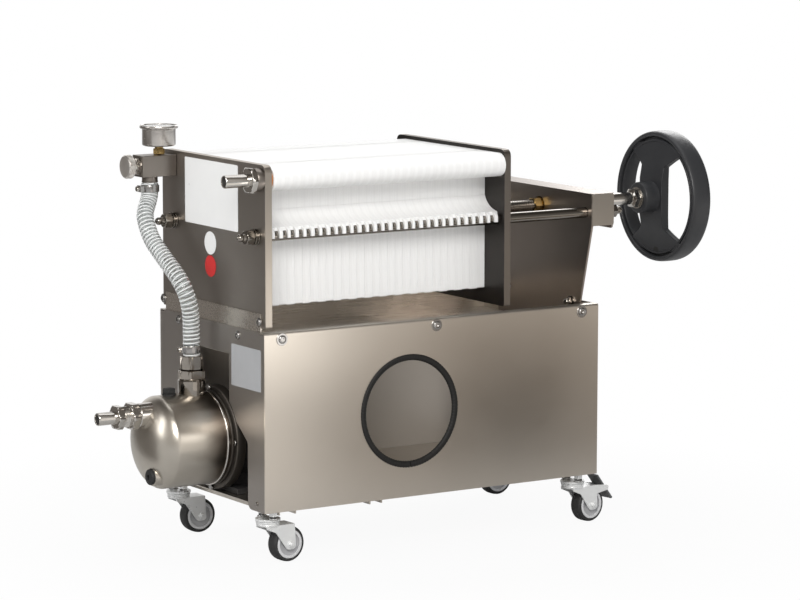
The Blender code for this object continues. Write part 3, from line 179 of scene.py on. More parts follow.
FLOOR_REACH = 8
FLOOR_GLOW_NEAR, GLOW_FADE_START, GLOW_FADE_END = 0.94, 0.35, 0.75
floor_look = bpy.data.materials.new("pale_floor")
floor_look.use_nodes = True
tree = floor_look.node_tree
matt = tree.nodes["Principled BSDF"]
matt.inputs["Base Color"].default_value = (0.52, 0.515, 0.51, 1)
matt.inputs["Roughness"].default_value = 0.9
matt.inputs["Specular IOR Level"].default_value = 0.0
glow = tree.nodes.new("ShaderNodeEmission")
glow.inputs["Strength"].default_value = 1.0
seen = tree.nodes.new("ShaderNodeLightPath")
where = tree.nodes.new("ShaderNodeTexCoord")
distance = vector_node(tree, "LENGTH", where.outputs["Object"])
fade = range_node(tree, distance, GLOW_FADE_START, GLOW_FADE_END, FLOOR_GLOW_NEAR)
glow_share = math_node(tree, "MULTIPLY", seen.outputs["Is Camera Ray"], fade)
tree.links.new(shader_mix(tree, glow_share, matt.outputs[0], glow.outputs[0]),
               tree.nodes["Material Output"].inputs["Surface"])
stage_plane("floor", [(-FLOOR_REACH, -FLOOR_REACH, 0), (FLOOR_REACH, -FLOOR_REACH, 0),
                      (FLOOR_REACH, FLOOR_REACH, 0), (-FLOOR_REACH, FLOOR_REACH, 0)], floor_look)
print("floor in metres:", 2 * FLOOR_REACH, "by", 2 * FLOOR_REACH)

# %% The room: bands of light for mirrors, an even grey for matt pieces, white for the camera
STUDIO_STOPS = (
    (0.00, (0.44, 0.42, 0.40)),
    (0.18, (0.52, 0.50, 0.47)),
    (0.42, (0.15, 0.135, 0.12)),
    (0.62, (0.060, 0.053, 0.047)),
    (0.80, (0.11, 0.10, 0.092)),
    (0.93, (0.92, 0.91, 0.90)),
)
BACKDROP_AXIS = (sin(CAMERA_YAW), cos(CAMERA_YAW), 0.12)
world = bpy.data.worlds.new("studio")
bpy.context.scene.world = world
world.use_nodes = True
tree = world.node_tree
tree.nodes.clear()
world_out = tree.nodes.new("ShaderNodeOutputWorld")
around = tree.nodes.new("ShaderNodeTexCoord")
seen = tree.nodes.new("ShaderNodeLightPath")
studio_ramp = tree.nodes.new("ShaderNodeValToRGB")
ramp = studio_ramp.color_ramp
while len(ramp.elements) < len(STUDIO_STOPS):
    ramp.elements.new(0.5)
for stop, (position, rgb) in zip(ramp.elements, STUDIO_STOPS):
    stop.position = position
    stop.color = (*rgb, 1)
towards_backdrop = vector_node(tree, "DOT_PRODUCT", around.outputs["Generated"], BACKDROP_AXIS)
feed(tree, range_node(tree, towards_backdrop, -1, 1), studio_ramp.inputs["Fac"])


def background(colour, strength=1.0):
    """A Background shader in the world's tree."""
    node = tree.nodes.new("ShaderNodeBackground")
    feed(tree, colour, node.inputs["Color"])
    node.inputs["Strength"].default_value = strength
    return node.outputs[0]


mirror_side = background(studio_ramp.outputs["Color"])
plain_side = background((0.97, 0.985, 1.0, 1), 0.66)
white_side = background((1, 1, 1, 1))
lit_side = shader_mix(tree, seen.outputs["Is Glossy Ray"], plain_side, mirror_side)
direct = math_node(tree, "MAXIMUM", seen.outputs["Is Camera Ray"],
                   seen.outputs["Is Transmission Ray"])
tree.links.new(shader_mix(tree, direct, lit_side, white_side), world_out.inputs["Surface"])
print("bands of light in the room:", len(ramp.elements))

# %% The lamps
LAMP_TARGET = (0, 0, 0.28)


def lamp(name, place, target, size, power, tint=(1, 1, 1)):
    """A soft rectangular lamp that faces its target."""
    data = bpy.data.lights.new(name, "AREA")
    data.shape = "RECTANGLE"
    data.size, data.size_y = size
    data.energy = power
    data.color = tint
    made = bpy.data.objects.new(name, data)
    bpy.context.scene.collection.objects.link(made)
    made.location = place
    aim = Vector(target) - Vector(place)
    made.rotation_euler = aim.to_track_quat("-Z", "Y").to_euler()
    return made


lamp("key lamp", (-1.7, -2.3, 1.9), LAMP_TARGET, (1.6, 1.2), 58, (1, 0.985, 0.96))
lamp("top lamp", (0.2, 0.3, 2.3), LAMP_TARGET, (1.8, 1.4), 9.5)
lamp("far lamp", (1.9, 1.5, 1.5), LAMP_TARGET, (1.0, 1.0), 14)
lamp("low lamp", (-2.2, 0.4, 0.9), (-0.3, 0, 0.25), (0.7, 1.1), 9)
inside = lamp("inside lamp", (0.222, 0.000, 0.165), (-0.10, 0.06, 0.16), (0.20, 0.17), 0.08,
              (1, 0.955, 0.90))
inside.visible_camera = False
fill = lamp("front fill lamp", (-0.4, -2.6, 0.30), (0.1, 0, 0.42), (2.0, 0.7), 3)
fill.visible_glossy = False
print("lamps:", len(bpy.data.lights))

# %% [markdown]
# ## Cards that only reflections see
#
# A lamp lights everything at once. A glowing card that the camera can't see changes only what shiny
# steel shows. The front card gives the front panel its bright left end and its dark right end, the
# side card tones the left end, and the small corner card makes the bright ring on the pump's
# shoulder.

# %% Glowing cards: the front one has two soft dark patches
CARD_Y = -0.50
PATCH_CENTRE, PATCH_STRETCH = (0.345, CARD_Y, 0.07), (1.0, 1.0, 1.22)
PATCH_START, PATCH_END, PATCH_DARK, PATCH_BRIGHT = 0.04, 0.46, 0.06, 0.98
SHADE_CENTRE = (0.05, CARD_Y, 0.10)
SHADE_START, SHADE_END, SHADE_DARK = 0.02, 0.13, 0.40
WARM_GLOW, PALE_GLOW = (1.0, 0.83, 0.67, 1), (1.0, 0.965, 0.925, 1)
SIDE_X = -0.62
CORNER_Y = CARD_Y + 0.01
PLAIN_CARDS = (
    ("side_card", (1.0, 0.92, 0.85, 1), 0.17,
     ((SIDE_X, 0.05, 0.001), (SIDE_X, 1.70, 0.001), (SIDE_X, 1.70, 0.60), (SIDE_X, 0.05, 0.60))),
    ("corner_card", (1.0, 0.97, 0.93, 1), 2.4,
     ((-0.16, CORNER_Y, 0.20), (-0.01, CORNER_Y, 0.20), (-0.01, CORNER_Y, 0.34),
      (-0.16, CORNER_Y, 0.34))),
)


def glow_material(name):
    """A material with one Emission shader. Returns it with its tree and the shader's inputs."""
    look = bpy.data.materials.new(name)
    look.use_nodes = True
    tree = look.node_tree
    tree.nodes.remove(tree.nodes["Principled BSDF"])
    glow = tree.nodes.new("ShaderNodeEmission")
    tree.links.new(glow.outputs[0], tree.nodes["Material Output"].inputs["Surface"])
    return look, tree, glow.inputs


card_look, tree, glow = glow_material("front_card")
where = tree.nodes.new("ShaderNodeTexCoord").outputs["Object"]
offset = vector_node(tree, "SUBTRACT", where, PATCH_CENTRE)
reach = vector_node(tree, "LENGTH", vector_node(tree, "MULTIPLY", offset, PATCH_STRETCH))
patch = range_node(tree, reach, PATCH_START, PATCH_END, PATCH_DARK, PATCH_BRIGHT, smooth=True)
shade = range_node(tree, vector_node(tree, "DISTANCE", where, SHADE_CENTRE),
                   SHADE_START, SHADE_END, SHADE_DARK, smooth=True)
feed(tree, math_node(tree, "MULTIPLY", patch, shade), glow["Strength"])
feed(tree, colour_mix(tree, patch, WARM_GLOW, PALE_GLOW), glow["Color"])
cards = [stage_plane("front_card", [(-0.50, CARD_Y, 0.001), (1.30, CARD_Y, 0.001),
                                    (1.30, CARD_Y, 0.36), (-0.50, CARD_Y, 0.36)], card_look)]
for card_name, colour, strength, corners in PLAIN_CARDS:
    card_look, tree, glow = glow_material(card_name)
    glow["Color"].default_value = colour
    glow["Strength"].default_value = strength
    cards.append(stage_plane(card_name, corners, card_look))
for card in cards:
    card.visible_camera = False
    card.visible_diffuse = False
    card.visible_transmission = False
    card.visible_shadow = False
print("cards:", len(cards))

# %% [markdown]
# ## Shared effects
#
# Brushing, mottling and a fine skin are effects that many finishes use, each with its own values.
# They could be copied into every material, but a node group is built once and keeps them equal.
# Each group reads the object's own coordinates in metres, so one scale fits all pieces.

# %% Brushed grain: long scratches one way, and broad soft smudges
FLOAT, COLOUR, VECTOR = "NodeSocketFloat", "NodeSocketColor", "NodeSocketVector"


def new_group(name, inputs, outputs):
    """An empty shader group with named sockets. Returns the group and its two end nodes."""
    group = bpy.data.node_groups.new(name, "ShaderNodeTree")
    for socket, kind, value in inputs:
        made = group.interface.new_socket(name=socket, in_out="INPUT", socket_type=kind)
        if value is not None:
            made.default_value = value
    for socket, kind in outputs:
        group.interface.new_socket(name=socket, in_out="OUTPUT", socket_type=kind)
    return group, group.nodes.new("NodeGroupInput"), group.nodes.new("NodeGroupOutput")


grain_group, gin, gout = new_group(
    "brushed grain",
    [("Vector", VECTOR, None), ("Stretch", VECTOR, (6, 700, 700)), ("Base Roughness", FLOAT, 0.3),
     ("Spread", FLOAT, 0.12), ("Smudge Scale", FLOAT, 9.0)],
    [("Roughness", FLOAT), ("Height", FLOAT), ("Smudge", FLOAT)])
stretched = vector_node(grain_group, "MULTIPLY", gin.outputs["Vector"], gin.outputs["Stretch"])
scratches = noise_node(grain_group, stretched, 1.0, 5, 0.7)
smudges = noise_node(grain_group, gin.outputs["Vector"], gin.outputs["Smudge Scale"], 3, 0.6)
centred = math_node(grain_group, "SUBTRACT", scratches, 0.5)
smudged = math_node(grain_group, "SUBTRACT", smudges, 0.5)
both = math_node(grain_group, "ADD", centred, smudged)
spread = math_node(grain_group, "MULTIPLY", both, gin.outputs["Spread"])
grain_group.links.new(math_node(grain_group, "ADD", spread, gin.outputs["Base Roughness"], True),
                      gout.inputs["Roughness"])
grain_group.links.new(scratches, gout.inputs["Height"])
grain_group.links.new(smudges, gout.inputs["Smudge"])

# %% Mottle: two colours mixed by a cloudy pattern
mottle_group, gin, gout = new_group(
    "mottle",
    [("Vector", VECTOR, None), ("Scale", FLOAT, 20.0), ("First Colour", COLOUR, None),
     ("Second Colour", COLOUR, None), ("Contrast", FLOAT, 2.0)],
    [("Colour", COLOUR), ("Mask", FLOAT)])
cloud = noise_node(mottle_group, gin.outputs["Vector"], gin.outputs["Scale"], 5, 0.6)
shifted = math_node(mottle_group, "SUBTRACT", cloud, 0.5)
scaled = math_node(mottle_group, "MULTIPLY", shifted, gin.outputs["Contrast"])
mask = math_node(mottle_group, "ADD", scaled, 0.5, True)
mixed = colour_mix(mottle_group, mask, gin.outputs["First Colour"], gin.outputs["Second Colour"])
mottle_group.links.new(mixed, gout.inputs["Colour"])
mottle_group.links.new(mask, gout.inputs["Mask"])

# %% Fine skin: the tiny grain of moulded plastic, rubber or cast metal
skin_group, gin, gout = new_group(
    "fine skin",
    [("Vector", VECTOR, None), ("Scale", FLOAT, 900.0), ("Base Roughness", FLOAT, 0.5),
     ("Spread", FLOAT, 0.15)],
    [("Roughness", FLOAT), ("Height", FLOAT)])
fine = noise_node(skin_group, gin.outputs["Vector"], gin.outputs["Scale"], 3, 0.6)
broad = noise_node(skin_group, gin.outputs["Vector"], 22.0, 3, 0.6)
off_middle = math_node(skin_group, "SUBTRACT", broad, 0.5)
rough_part = math_node(skin_group, "MULTIPLY", off_middle, gin.outputs["Spread"])
skin_group.links.new(math_node(skin_group, "ADD", rough_part, gin.outputs["Base Roughness"], True),
                     gout.inputs["Roughness"])
skin_group.links.new(fine, gout.inputs["Height"])

# %% Cut edge: a mask that is 1 on faces whose own normal lies across a chosen axis
edge_group, gin, gout = new_group(
    "cut edge", [("Normal", VECTOR, None), ("Face Axis", VECTOR, (1, 0, 0))], [("Mask", FLOAT)])
facing = vector_node(edge_group, "DOT_PRODUCT", gin.outputs["Normal"], gin.outputs["Face Axis"])
turned_away = math_node(edge_group, "ABSOLUTE", facing)
inverse = math_node(edge_group, "SUBTRACT", 1.0, turned_away)
sharper = math_node(edge_group, "MULTIPLY", inverse, 3.0)
edge_group.links.new(math_node(edge_group, "SUBTRACT", sharper, 1.2, True), gout.inputs["Mask"])
print("groups:", [g.name for g in bpy.data.node_groups])

# %% [markdown]
# ## Finishes
#
# Every material has one Principled shader. Plain numbers stay on the shader, and only what changes
# over the surface comes from the groups: scratches in the steel, haze in the white plates, a fine
# grain on moulded and cast pieces.


def material(name, slot, colour, metallic=0.0, roughness=0.5, **plain):
    """A material with one Principled shader, its object coordinates and plain values set."""
    made = bpy.data.materials.new(name)
    made.use_nodes = True
    shader = made.node_tree.nodes["Principled BSDF"]
    shader.inputs["Base Color"].default_value = (*colour, 1)
    shader.inputs["Metallic"].default_value = metallic
    shader.inputs["Roughness"].default_value = roughness
    for socket, value in plain.items():
        shader.inputs[socket.replace("_", " ")].default_value = value
    where = made.node_tree.nodes.new("ShaderNodeTexCoord")
    made.diffuse_color = (*colour, 1)
    return made, made.node_tree, shader, where


def placed(tree, group, **values):
    """A node group in a material, with its own values. Underscores stand for spaces."""
    node = tree.nodes.new("ShaderNodeGroup")
    node.node_tree = group
    for socket, value in values.items():
        node.inputs[socket.replace("_", " ")].default_value = value
    return node


def bumped(tree, shader, height, strength, distance):
    """A Bump node from a height to the shader's normal."""
    bump = tree.nodes.new("ShaderNodeBump")
    bump.inputs["Strength"].default_value = strength
    bump.inputs["Distance"].default_value = distance
    tree.links.new(height, bump.inputs["Height"])
    tree.links.new(bump.outputs["Normal"], shader.inputs["Normal"])


# %% Two families of finish: brushed metal, and moulded or cast pieces
def brushed_metal(name, slot, first, second, roughness, stretch, spread=0.10, edge=None,
                  mottle_scale=6.0, bump=0.06, metallic=1.0, painted_shade=None):
    """Stainless steel: scratches along one axis and a faint change of tone.

    An edge is (face axis, colour): the colour of cut edges, which lie across that axis.
    A painted shade is (start, end, colour): the metal takes that darker colour from start to end
    along X, in place of shade.
    """
    made, tree, shader, where = material(name, slot, first, metallic, roughness)
    grain = placed(tree, grain_group, Stretch=stretch, Base_Roughness=roughness, Spread=spread)
    tone = placed(tree, mottle_group, Scale=mottle_scale, First_Colour=(*first, 1),
                  Second_Colour=(*second, 1))
    for node in (grain, tone):
        tree.links.new(where.outputs["Object"], node.inputs["Vector"])
    tree.links.new(grain.outputs["Roughness"], shader.inputs["Roughness"])
    colour = tone.outputs["Colour"]
    if edge:
        face_axis, edge_colour = edge
        rim = placed(tree, edge_group, Face_Axis=face_axis)
        tree.links.new(where.outputs["Normal"], rim.inputs["Normal"])
        colour = colour_mix(tree, rim.outputs["Mask"], colour, (*edge_colour, 1))
    # Painted shade: a darker colour along X that stands in for shade.
    if painted_shade:
        start, end, shade_colour = painted_shade
        along = tree.nodes.new("ShaderNodeSeparateXYZ")
        tree.links.new(where.outputs["Object"], along.inputs[0])
        share = range_node(tree, along.outputs["X"], start, end, smooth=True)
        colour = colour_mix(tree, share, colour, (*shade_colour, 1))
    tree.links.new(colour, shader.inputs["Base Color"])
    bumped(tree, shader, grain.outputs["Height"], bump, 0.0004)
    return made


def moulded(name, slot, first, second, roughness, scale=900.0, bump=0.12, depth=0.0003,
            mottle_scale=30.0, spread=0.15, **plain):
    """Plastic, rubber or cast metal: a cloudy tone and a fine skin."""
    made, tree, shader, where = material(name, slot, first, 0.0, roughness, **plain)
    skin = placed(tree, skin_group, Scale=scale, Base_Roughness=roughness, Spread=spread)
    tone = placed(tree, mottle_group, Scale=mottle_scale, First_Colour=(*first, 1),
                  Second_Colour=(*second, 1))
    for node in (skin, tone):
        tree.links.new(where.outputs["Object"], node.inputs["Vector"])
    tree.links.new(skin.outputs["Roughness"], shader.inputs["Roughness"])
    tree.links.new(tone.outputs["Colour"], shader.inputs["Base Color"])
    bumped(tree, shader, skin.outputs["Height"], bump, depth)
    return made


# %% The finishes of this machine
# Painted shade on the can: its steel darkens between these two places along X, towards the collar.
CAN_SHADE_START, CAN_SHADE_END = -0.046, -0.010
PANEL = brushed_metal("panel steel", "brushed_panel", (0.66, 0.615, 0.555), (0.60, 0.555, 0.495),
                      0.31, (5, 900, 900), spread=0.09, mottle_scale=3.0, bump=0.05)
END_STEEL = brushed_metal("end panel steel", "brushed_panel", (0.42, 0.39, 0.365),
                          (0.37, 0.345, 0.32), 0.46, (700, 5, 700), spread=0.09, mottle_scale=4.0,
                          bump=0.05)
BACK_STEEL = brushed_metal("back panel steel", "brushed_panel", (0.58, 0.55, 0.515),
                           (0.52, 0.49, 0.455), 0.36, (5, 900, 900), spread=0.09,
                           mottle_scale=3.0, bump=0.05, metallic=0.6)
BASIN = brushed_metal("basin steel", "brushed_panel", (0.76, 0.71, 0.65), (0.70, 0.65, 0.59),
                      0.28, (5, 900, 900), spread=0.08, mottle_scale=3.0, bump=0.04)
DARK_STEEL = brushed_metal("plate steel", "dark_plate", (0.40, 0.365, 0.335), (0.345, 0.315, 0.285),
                           0.38, (700, 700, 12), spread=0.10,
                           edge=((1, 0, 0), (0.50, 0.455, 0.40)), mottle_scale=5.0, bump=0.05)
# Painted shade: the press plate is the plate steel made nearly black, for the shade between the
# plates and the channel and the dark side it mirrors. Its cut edges stay lighter.
SHADED_PRESS_STEEL = brushed_metal("press plate steel", "dark_plate", (0.055, 0.050, 0.046),
                            (0.042, 0.038, 0.035), 0.38, (700, 700, 12), spread=0.10,
                            edge=((1, 0, 0), (0.24, 0.215, 0.19)), mottle_scale=5.0, bump=0.05)
BLOCK_STEEL = brushed_metal("block steel", "dark_plate", (0.30, 0.27, 0.245), (0.25, 0.225, 0.20),
                            0.33, (12, 800, 800), bump=0.06)
SHOULDER_STEEL = brushed_metal("shoulder steel", "dark_plate", (0.40, 0.355, 0.32),
                               (0.34, 0.30, 0.27), 0.30, (500, 8, 500), spread=0.08,
                               mottle_scale=4.0, bump=0.04)
BRIGHT_STEEL = brushed_metal("polished steel", "polished", (0.68, 0.655, 0.62), (0.60, 0.575, 0.54),
                             0.12, (500, 500, 500), spread=0.10, mottle_scale=40.0, bump=0.02)
# The can's steel carries painted shade, darker along X towards the collar.
CAN_STEEL = brushed_metal("drawn can steel", "polished", (0.59, 0.55, 0.49), (0.50, 0.465, 0.41),
                          0.29, (30, 300, 300), spread=0.05, mottle_scale=14.0, bump=0.01,
                          painted_shade=(CAN_SHADE_START, CAN_SHADE_END, (0.17, 0.14, 0.115)))
# Rod steel, also used for nuts and the thread, is polished steel made much darker. This is painted
# shade for the rods lying in shade behind the plates' hooks, and painted dark reflections.
ROD_STEEL = brushed_metal("rod steel", "polished", (0.31, 0.287, 0.258), (0.25, 0.23, 0.205),
                          0.12, (900, 60, 60), spread=0.10, mottle_scale=30.0, bump=0.04)
GAUGE_STEEL = brushed_metal("gauge steel", "polished", (0.62, 0.59, 0.56), (0.54, 0.515, 0.49),
                            0.26, (40, 40, 500), spread=0.08, mottle_scale=40.0, bump=0.02)
KNOB_STEEL = brushed_metal("knob steel", "polished", (0.90, 0.87, 0.83), (0.80, 0.77, 0.73), 0.34,
                           (400, 400, 400), spread=0.12, mottle_scale=80.0, bump=0.05)
ZINC = brushed_metal("zinc plate", "zinc", (0.42, 0.41, 0.40), (0.34, 0.335, 0.33), 0.20,
                     (200, 200, 200), spread=0.16, mottle_scale=60.0, bump=0.03)
CASTOR_ZINC = brushed_metal("castor zinc", "zinc", (0.86, 0.87, 0.87), (0.78, 0.79, 0.79), 0.30,
                            (200, 200, 200), spread=0.16, mottle_scale=60.0, bump=0.03,
                            metallic=0.5)
CAP_STEEL = brushed_metal("end cap steel", "dark_plate", (0.42, 0.385, 0.34), (0.38, 0.345, 0.305),
                          0.34, (300, 300, 12), spread=0.10, mottle_scale=20.0, bump=0.03)
# Union steel is the polished steel made darker, a painted stand-in for the dark reflections these
# fittings show.
UNION_STEEL = brushed_metal("union steel", "polished", (0.37, 0.34, 0.305), (0.30, 0.275, 0.245),
                            0.11, (300, 300, 12), mottle_scale=60.0, bump=0.02)
LANTERN_STEEL = brushed_metal("lantern steel", "dark_plate", (0.13, 0.115, 0.10),
                              (0.10, 0.09, 0.08), 0.50, (300, 300, 12), mottle_scale=20.0,
                              bump=0.03)
BRASS = brushed_metal("brass", "brass", (0.46, 0.325, 0.14), (0.38, 0.265, 0.105), 0.24,
                      (300, 300, 300), mottle_scale=60.0, bump=0.03)
BLACK_CAST = moulded("black cast iron", "cast_black", (0.020, 0.020, 0.021), (0.034, 0.032, 0.03),
                     0.55, 420.0, 0.5, 0.0008)
PLUG_PLASTIC = moulded("plug plastic", "black_plastic", (0.010, 0.010, 0.010),
                       (0.014, 0.014, 0.014), 0.62, 700.0, 0.2, 0.0003)
BLACK_PLASTIC = moulded("black plastic", "black_plastic", (0.030, 0.031, 0.034),
                        (0.030, 0.031, 0.034), 0.40, 1400.0, 0.10, 0.0002)
EDGING_RUBBER = moulded("edging rubber", "edging", (0.007, 0.007, 0.007), (0.013, 0.012, 0.011),
                        0.52, 700.0, 0.2, 0.0003, Specular_IOR_Level=0.3)
TYRE_RUBBER = moulded("tyre rubber", "tyre", (0.0165, 0.0165, 0.0171), (0.0248, 0.0248, 0.0253),
                      0.62, 600.0, 0.3, 0.0004)
PEDAL_PLASTIC = moulded("pedal plastic", "black_plastic", (0.085, 0.088, 0.09),
                        (0.11, 0.113, 0.115), 0.34, 900.0, 0.12, 0.0002)
WEB_PLASTIC = moulded("wheel web plastic", "black_plastic", (0.020, 0.021, 0.024),
                      (0.028, 0.029, 0.032), 0.46, 1100.0, 0.22, 0.0003)
HUB_PLASTIC = moulded("hub plastic", "hub", (0.44, 0.44, 0.45), (0.38, 0.38, 0.39), 0.42,
                      700.0, 0.15, 0.0003)
HUB_RING = moulded("hub ring plastic", "hub", (0.66, 0.66, 0.67), (0.60, 0.60, 0.61), 0.38,
                   700.0, 0.12, 0.0003)
AMBER = moulded("amber gasket", "amber", (0.55, 0.20, 0.035), (0.44, 0.14, 0.02), 0.42,
                500.0, 0.15, 0.0003)
LABEL = moulded("white label film", "filter_plate", (0.82, 0.82, 0.81), (0.79, 0.79, 0.785), 0.30,
                300.0, 0.03, 0.0001)
TYPE_FILM = moulded("grey label film", "filter_plate", (0.40, 0.405, 0.415),
                    (0.36, 0.365, 0.375), 0.34, 300.0, 0.03, 0.0001)
LABEL_INK = moulded("grey label ink", "black_plastic", (0.10, 0.10, 0.105), (0.13, 0.13, 0.135),
                    0.35, 300.0, 0.03, 0.0001)
RED_FILM = moulded("red label film", "amber", (0.62, 0.03, 0.03), (0.55, 0.025, 0.025), 0.30,
                   300.0, 0.03, 0.0001)
# Painted shade: near-black pieces set inside bores and sockets, standing in for the shade deep in
# those holes.
HOLE_SHADE = moulded("painted hole shade", "black_plastic", (0.010, 0.009, 0.008), (0.02, 0.018, 0.016),
                    0.6, 300.0, 0.1, 0.0002)

# %% White filter plates: a hard, slightly clear plastic with a haze of tone along each plate
PLATE_WHITE, tree, shader, where = material("filter plate plastic", "filter_plate",
                                            (0.93, 0.93, 0.925), 0.0, 0.34,
                                            Subsurface_Weight=0.3, Subsurface_Scale=0.003,
                                            Coat_Weight=0.12, Coat_Roughness=0.25)
shader.inputs["Subsurface Radius"].default_value = (1.0, 0.98, 0.95)
skin = placed(tree, skin_group, Scale=260.0, Base_Roughness=0.34, Spread=0.14)
tone = placed(tree, mottle_group, Scale=1.0, First_Colour=(0.955, 0.95, 0.94, 1),
              Second_Colour=(0.85, 0.845, 0.835, 1), Contrast=2.4)
HAZE_STRETCH = (330, 40, 14)
streaks = vector_node(tree, "MULTIPLY", where.outputs["Object"], HAZE_STRETCH)
tree.links.new(streaks, tone.inputs["Vector"])
tree.links.new(where.outputs["Object"], skin.inputs["Vector"])
tree.links.new(skin.outputs["Roughness"], shader.inputs["Roughness"])
tree.links.new(tone.outputs["Colour"], shader.inputs["Base Color"])
bumped(tree, shader, skin.outputs["Height"], 0.10, 0.0004)

# %% Clear hose: soft clear plastic with a milky tint, and its white support wire
HOSE_CLEAR, tree, shader, where = material("clear hose plastic", "clear_hose", (0.93, 0.95, 0.94),
                                           0.0, 0.07, Transmission_Weight=0.94, IOR=1.30)
skin = placed(tree, skin_group, Scale=300.0, Base_Roughness=0.07, Spread=0.06)
tree.links.new(where.outputs["Object"], skin.inputs["Vector"])
tree.links.new(skin.outputs["Roughness"], shader.inputs["Roughness"])
bumped(tree, shader, skin.outputs["Height"], 0.08, 0.0003)
HOSE_WIRE = moulded("hose support wire", "clear_hose", (0.74, 0.75, 0.75), (0.66, 0.67, 0.67),
                    0.30, 400.0, 0.08, 0.0002)
GLASS, tree, shader, where = material("gauge glass", "polished", (0.96, 0.97, 0.97), 0.0, 0.03,
                                      Transmission_Weight=0.95, IOR=1.45)
skin = placed(tree, skin_group, Scale=120.0, Base_Roughness=0.04, Spread=0.05)
tree.links.new(where.outputs["Object"], skin.inputs["Vector"])
tree.links.new(skin.outputs["Roughness"], shader.inputs["Roughness"])

# %% [markdown]
# ## Tools for the pieces
#
# Most fittings are turned, so one lathe function makes them: it spins a list of sections round an
# axis. A hexagon is a section whose reach changes with the angle, and a cap on that reach gives the
# rounded chamfer of a real nut. Blender's Screw modifier could do the round ones, but not the nuts.

# %% Adding a finished mesh to its body
MACHINE_X = -0.2855      # the cabinet's left end in the pack's frame
AT_MACHINE = Vector((MACHINE_X, 0, 0))
SHARP_ANGLE = 32         # degrees between two faces, above which their edge is sharp
SAME_POINT = 1e-6
WELD_REACH = 0.00002
NEW_PIECES = {}


def soft_edges(node, width, sharp=SHARP_ANGLE):
    """A small Bevel on a piece's sharp edges."""
    edge = node.modifiers.new("soft edges", "BEVEL")
    edge.width = width
    edge.segments = 2
    edge.limit_method = "ANGLE"
    edge.angle_limit = radians(sharp)
    edge.harden_normals = True


def dressed(node, look, width):
    """A kept solid gets its finish, a Weld and, if a width is given, soft edges."""
    for place in node.material_slots:
        place.material = look
    node.modifiers.new("weld", "WELD").merge_threshold = WELD_REACH
    if width:
        soft_edges(node, width)


def add_piece(name, bm, look, body="frame", sharp=SHARP_ANGLE, soften=0.0, matrix=None,
              stands_for=()):
    """A piece from a bmesh in cabinet lengths: shaded, softened, riding on its body."""
    bmesh.ops.remove_doubles(bm, verts=bm.verts, dist=SAME_POINT)
    bmesh.ops.recalc_face_normals(bm, faces=bm.faces)
    mesh = bpy.data.meshes.new(name)
    bm.to_mesh(mesh)
    bm.free()
    mesh.materials.append(look)
    mesh.shade_smooth()
    mesh.set_sharp_from_angle(angle=radians(sharp))
    made = bpy.data.objects.new(name, mesh)
    bpy.context.scene.collection.objects.link(made)
    made.matrix_world = matrix if matrix is not None else Matrix.Translation(AT_MACHINE)
    if soften:
        soft_edges(made, soften, sharp)
    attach(made, body)
    if stands_for:
        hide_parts(*stands_for)
    NEW_PIECES[name] = len(mesh.polygons)
    return made


def new_pieces():
    """The pieces made since the last call, each with the number of its faces."""
    made = dict(NEW_PIECES)
    NEW_PIECES.clear()
    return made


# %% A lathe for turned forms, round or with flats
def on_axis(axis, along, a, b):
    """A point from its length along an axis and its two places across it."""
    return {"X": (along, a, b), "Y": (a, along, b), "Z": (a, b, along)}[axis]


def bridge(bm, pairs):
    """Rows of four-sided faces, each between two closed loops of vertices."""
    for first, second in pairs:
        for i in range(len(first)):
            j = (i + 1) % len(first)
            bm.faces.new((first[i], first[j], second[j], second[i]))


def skin_over(bm, loops):
    """A closed skin: a cap on both end loops, and faces between neighbours."""
    bm.faces.new(loops[0])
    bm.faces.new(loops[-1])
    bridge(bm, zip(loops, loops[1:]))


def lathe(bm, sections, axis="X", centre=(0, 0), segments=64, ring=False):
    """Spins sections (along, radius[, sides[, cap]]) round an axis and adds them to bm."""
    loops = []
    for along, radius, *more in sections:
        sides = more[0] if more else 0
        cap = more[1] if len(more) > 1 else radius
        loop = []
        for i in range(segments):
            angle = 2 * pi * i / segments
            reach = radius
            if sides:
                wedge = 2 * pi / sides
                reach = min(cap, radius * cos(wedge / 2) / cos(angle % wedge - wedge / 2))
            loop.append(bm.verts.new(on_axis(axis, along, centre[0] + reach * cos(angle),
                                             centre[1] + reach * sin(angle))))
        loops.append(loop)
    if ring:
        bridge(bm, zip(loops, loops[1:] + loops[:1]))
    else:
        skin_over(bm, loops)
    return bm


def turned(sections, axis="X", centre=(0, 0), segments=64, ring=False):
    """A new bmesh with one turned form. A ring closes on itself and needs no caps."""
    return lathe(bmesh.new(), sections, axis, centre, segments, ring)


CHAMFER_SHARE = 0.96     # of a hexagon's flats: the radius to which its corners are cut back


def nut(start, end, corner, rise=0.0012):
    """Sections of a hexagon nut whose corners are rounded off at both ends."""
    face = corner * cos(pi / 6) * CHAMFER_SHARE
    step = rise if end > start else -rise
    shares = (0.0, 0.5, 1.0)
    made = [(start + step * s, corner, 6, face + (corner - face) * s) for s in shares]
    made += [(end - step * s, corner, 6, face + (corner - face) * s) for s in reversed(shares)]
    return made


def rounded(start, end, radius, fillet):
    """Sections of a plain disc or collar with rounded rims."""
    step = fillet if end > start else -fillet
    turns = (0, 30, 60, 90)
    made = [(start + step * (1 - cos(radians(t))), radius - fillet * (1 - sin(radians(t))))
            for t in turns]
    made += [(end - step * (1 - cos(radians(t))), radius - fillet * (1 - sin(radians(t))))
             for t in reversed(turns)]
    return made


# %% Boxes, prisms and arcs
def add_box(bm, low, high):
    """A box between two corners, added to bm."""
    made = bmesh.ops.create_cube(bm, size=1)
    for vert in made["verts"]:
        vert.co = [low[i] if vert.co[i] < 0 else high[i] for i in range(3)]
    return bm


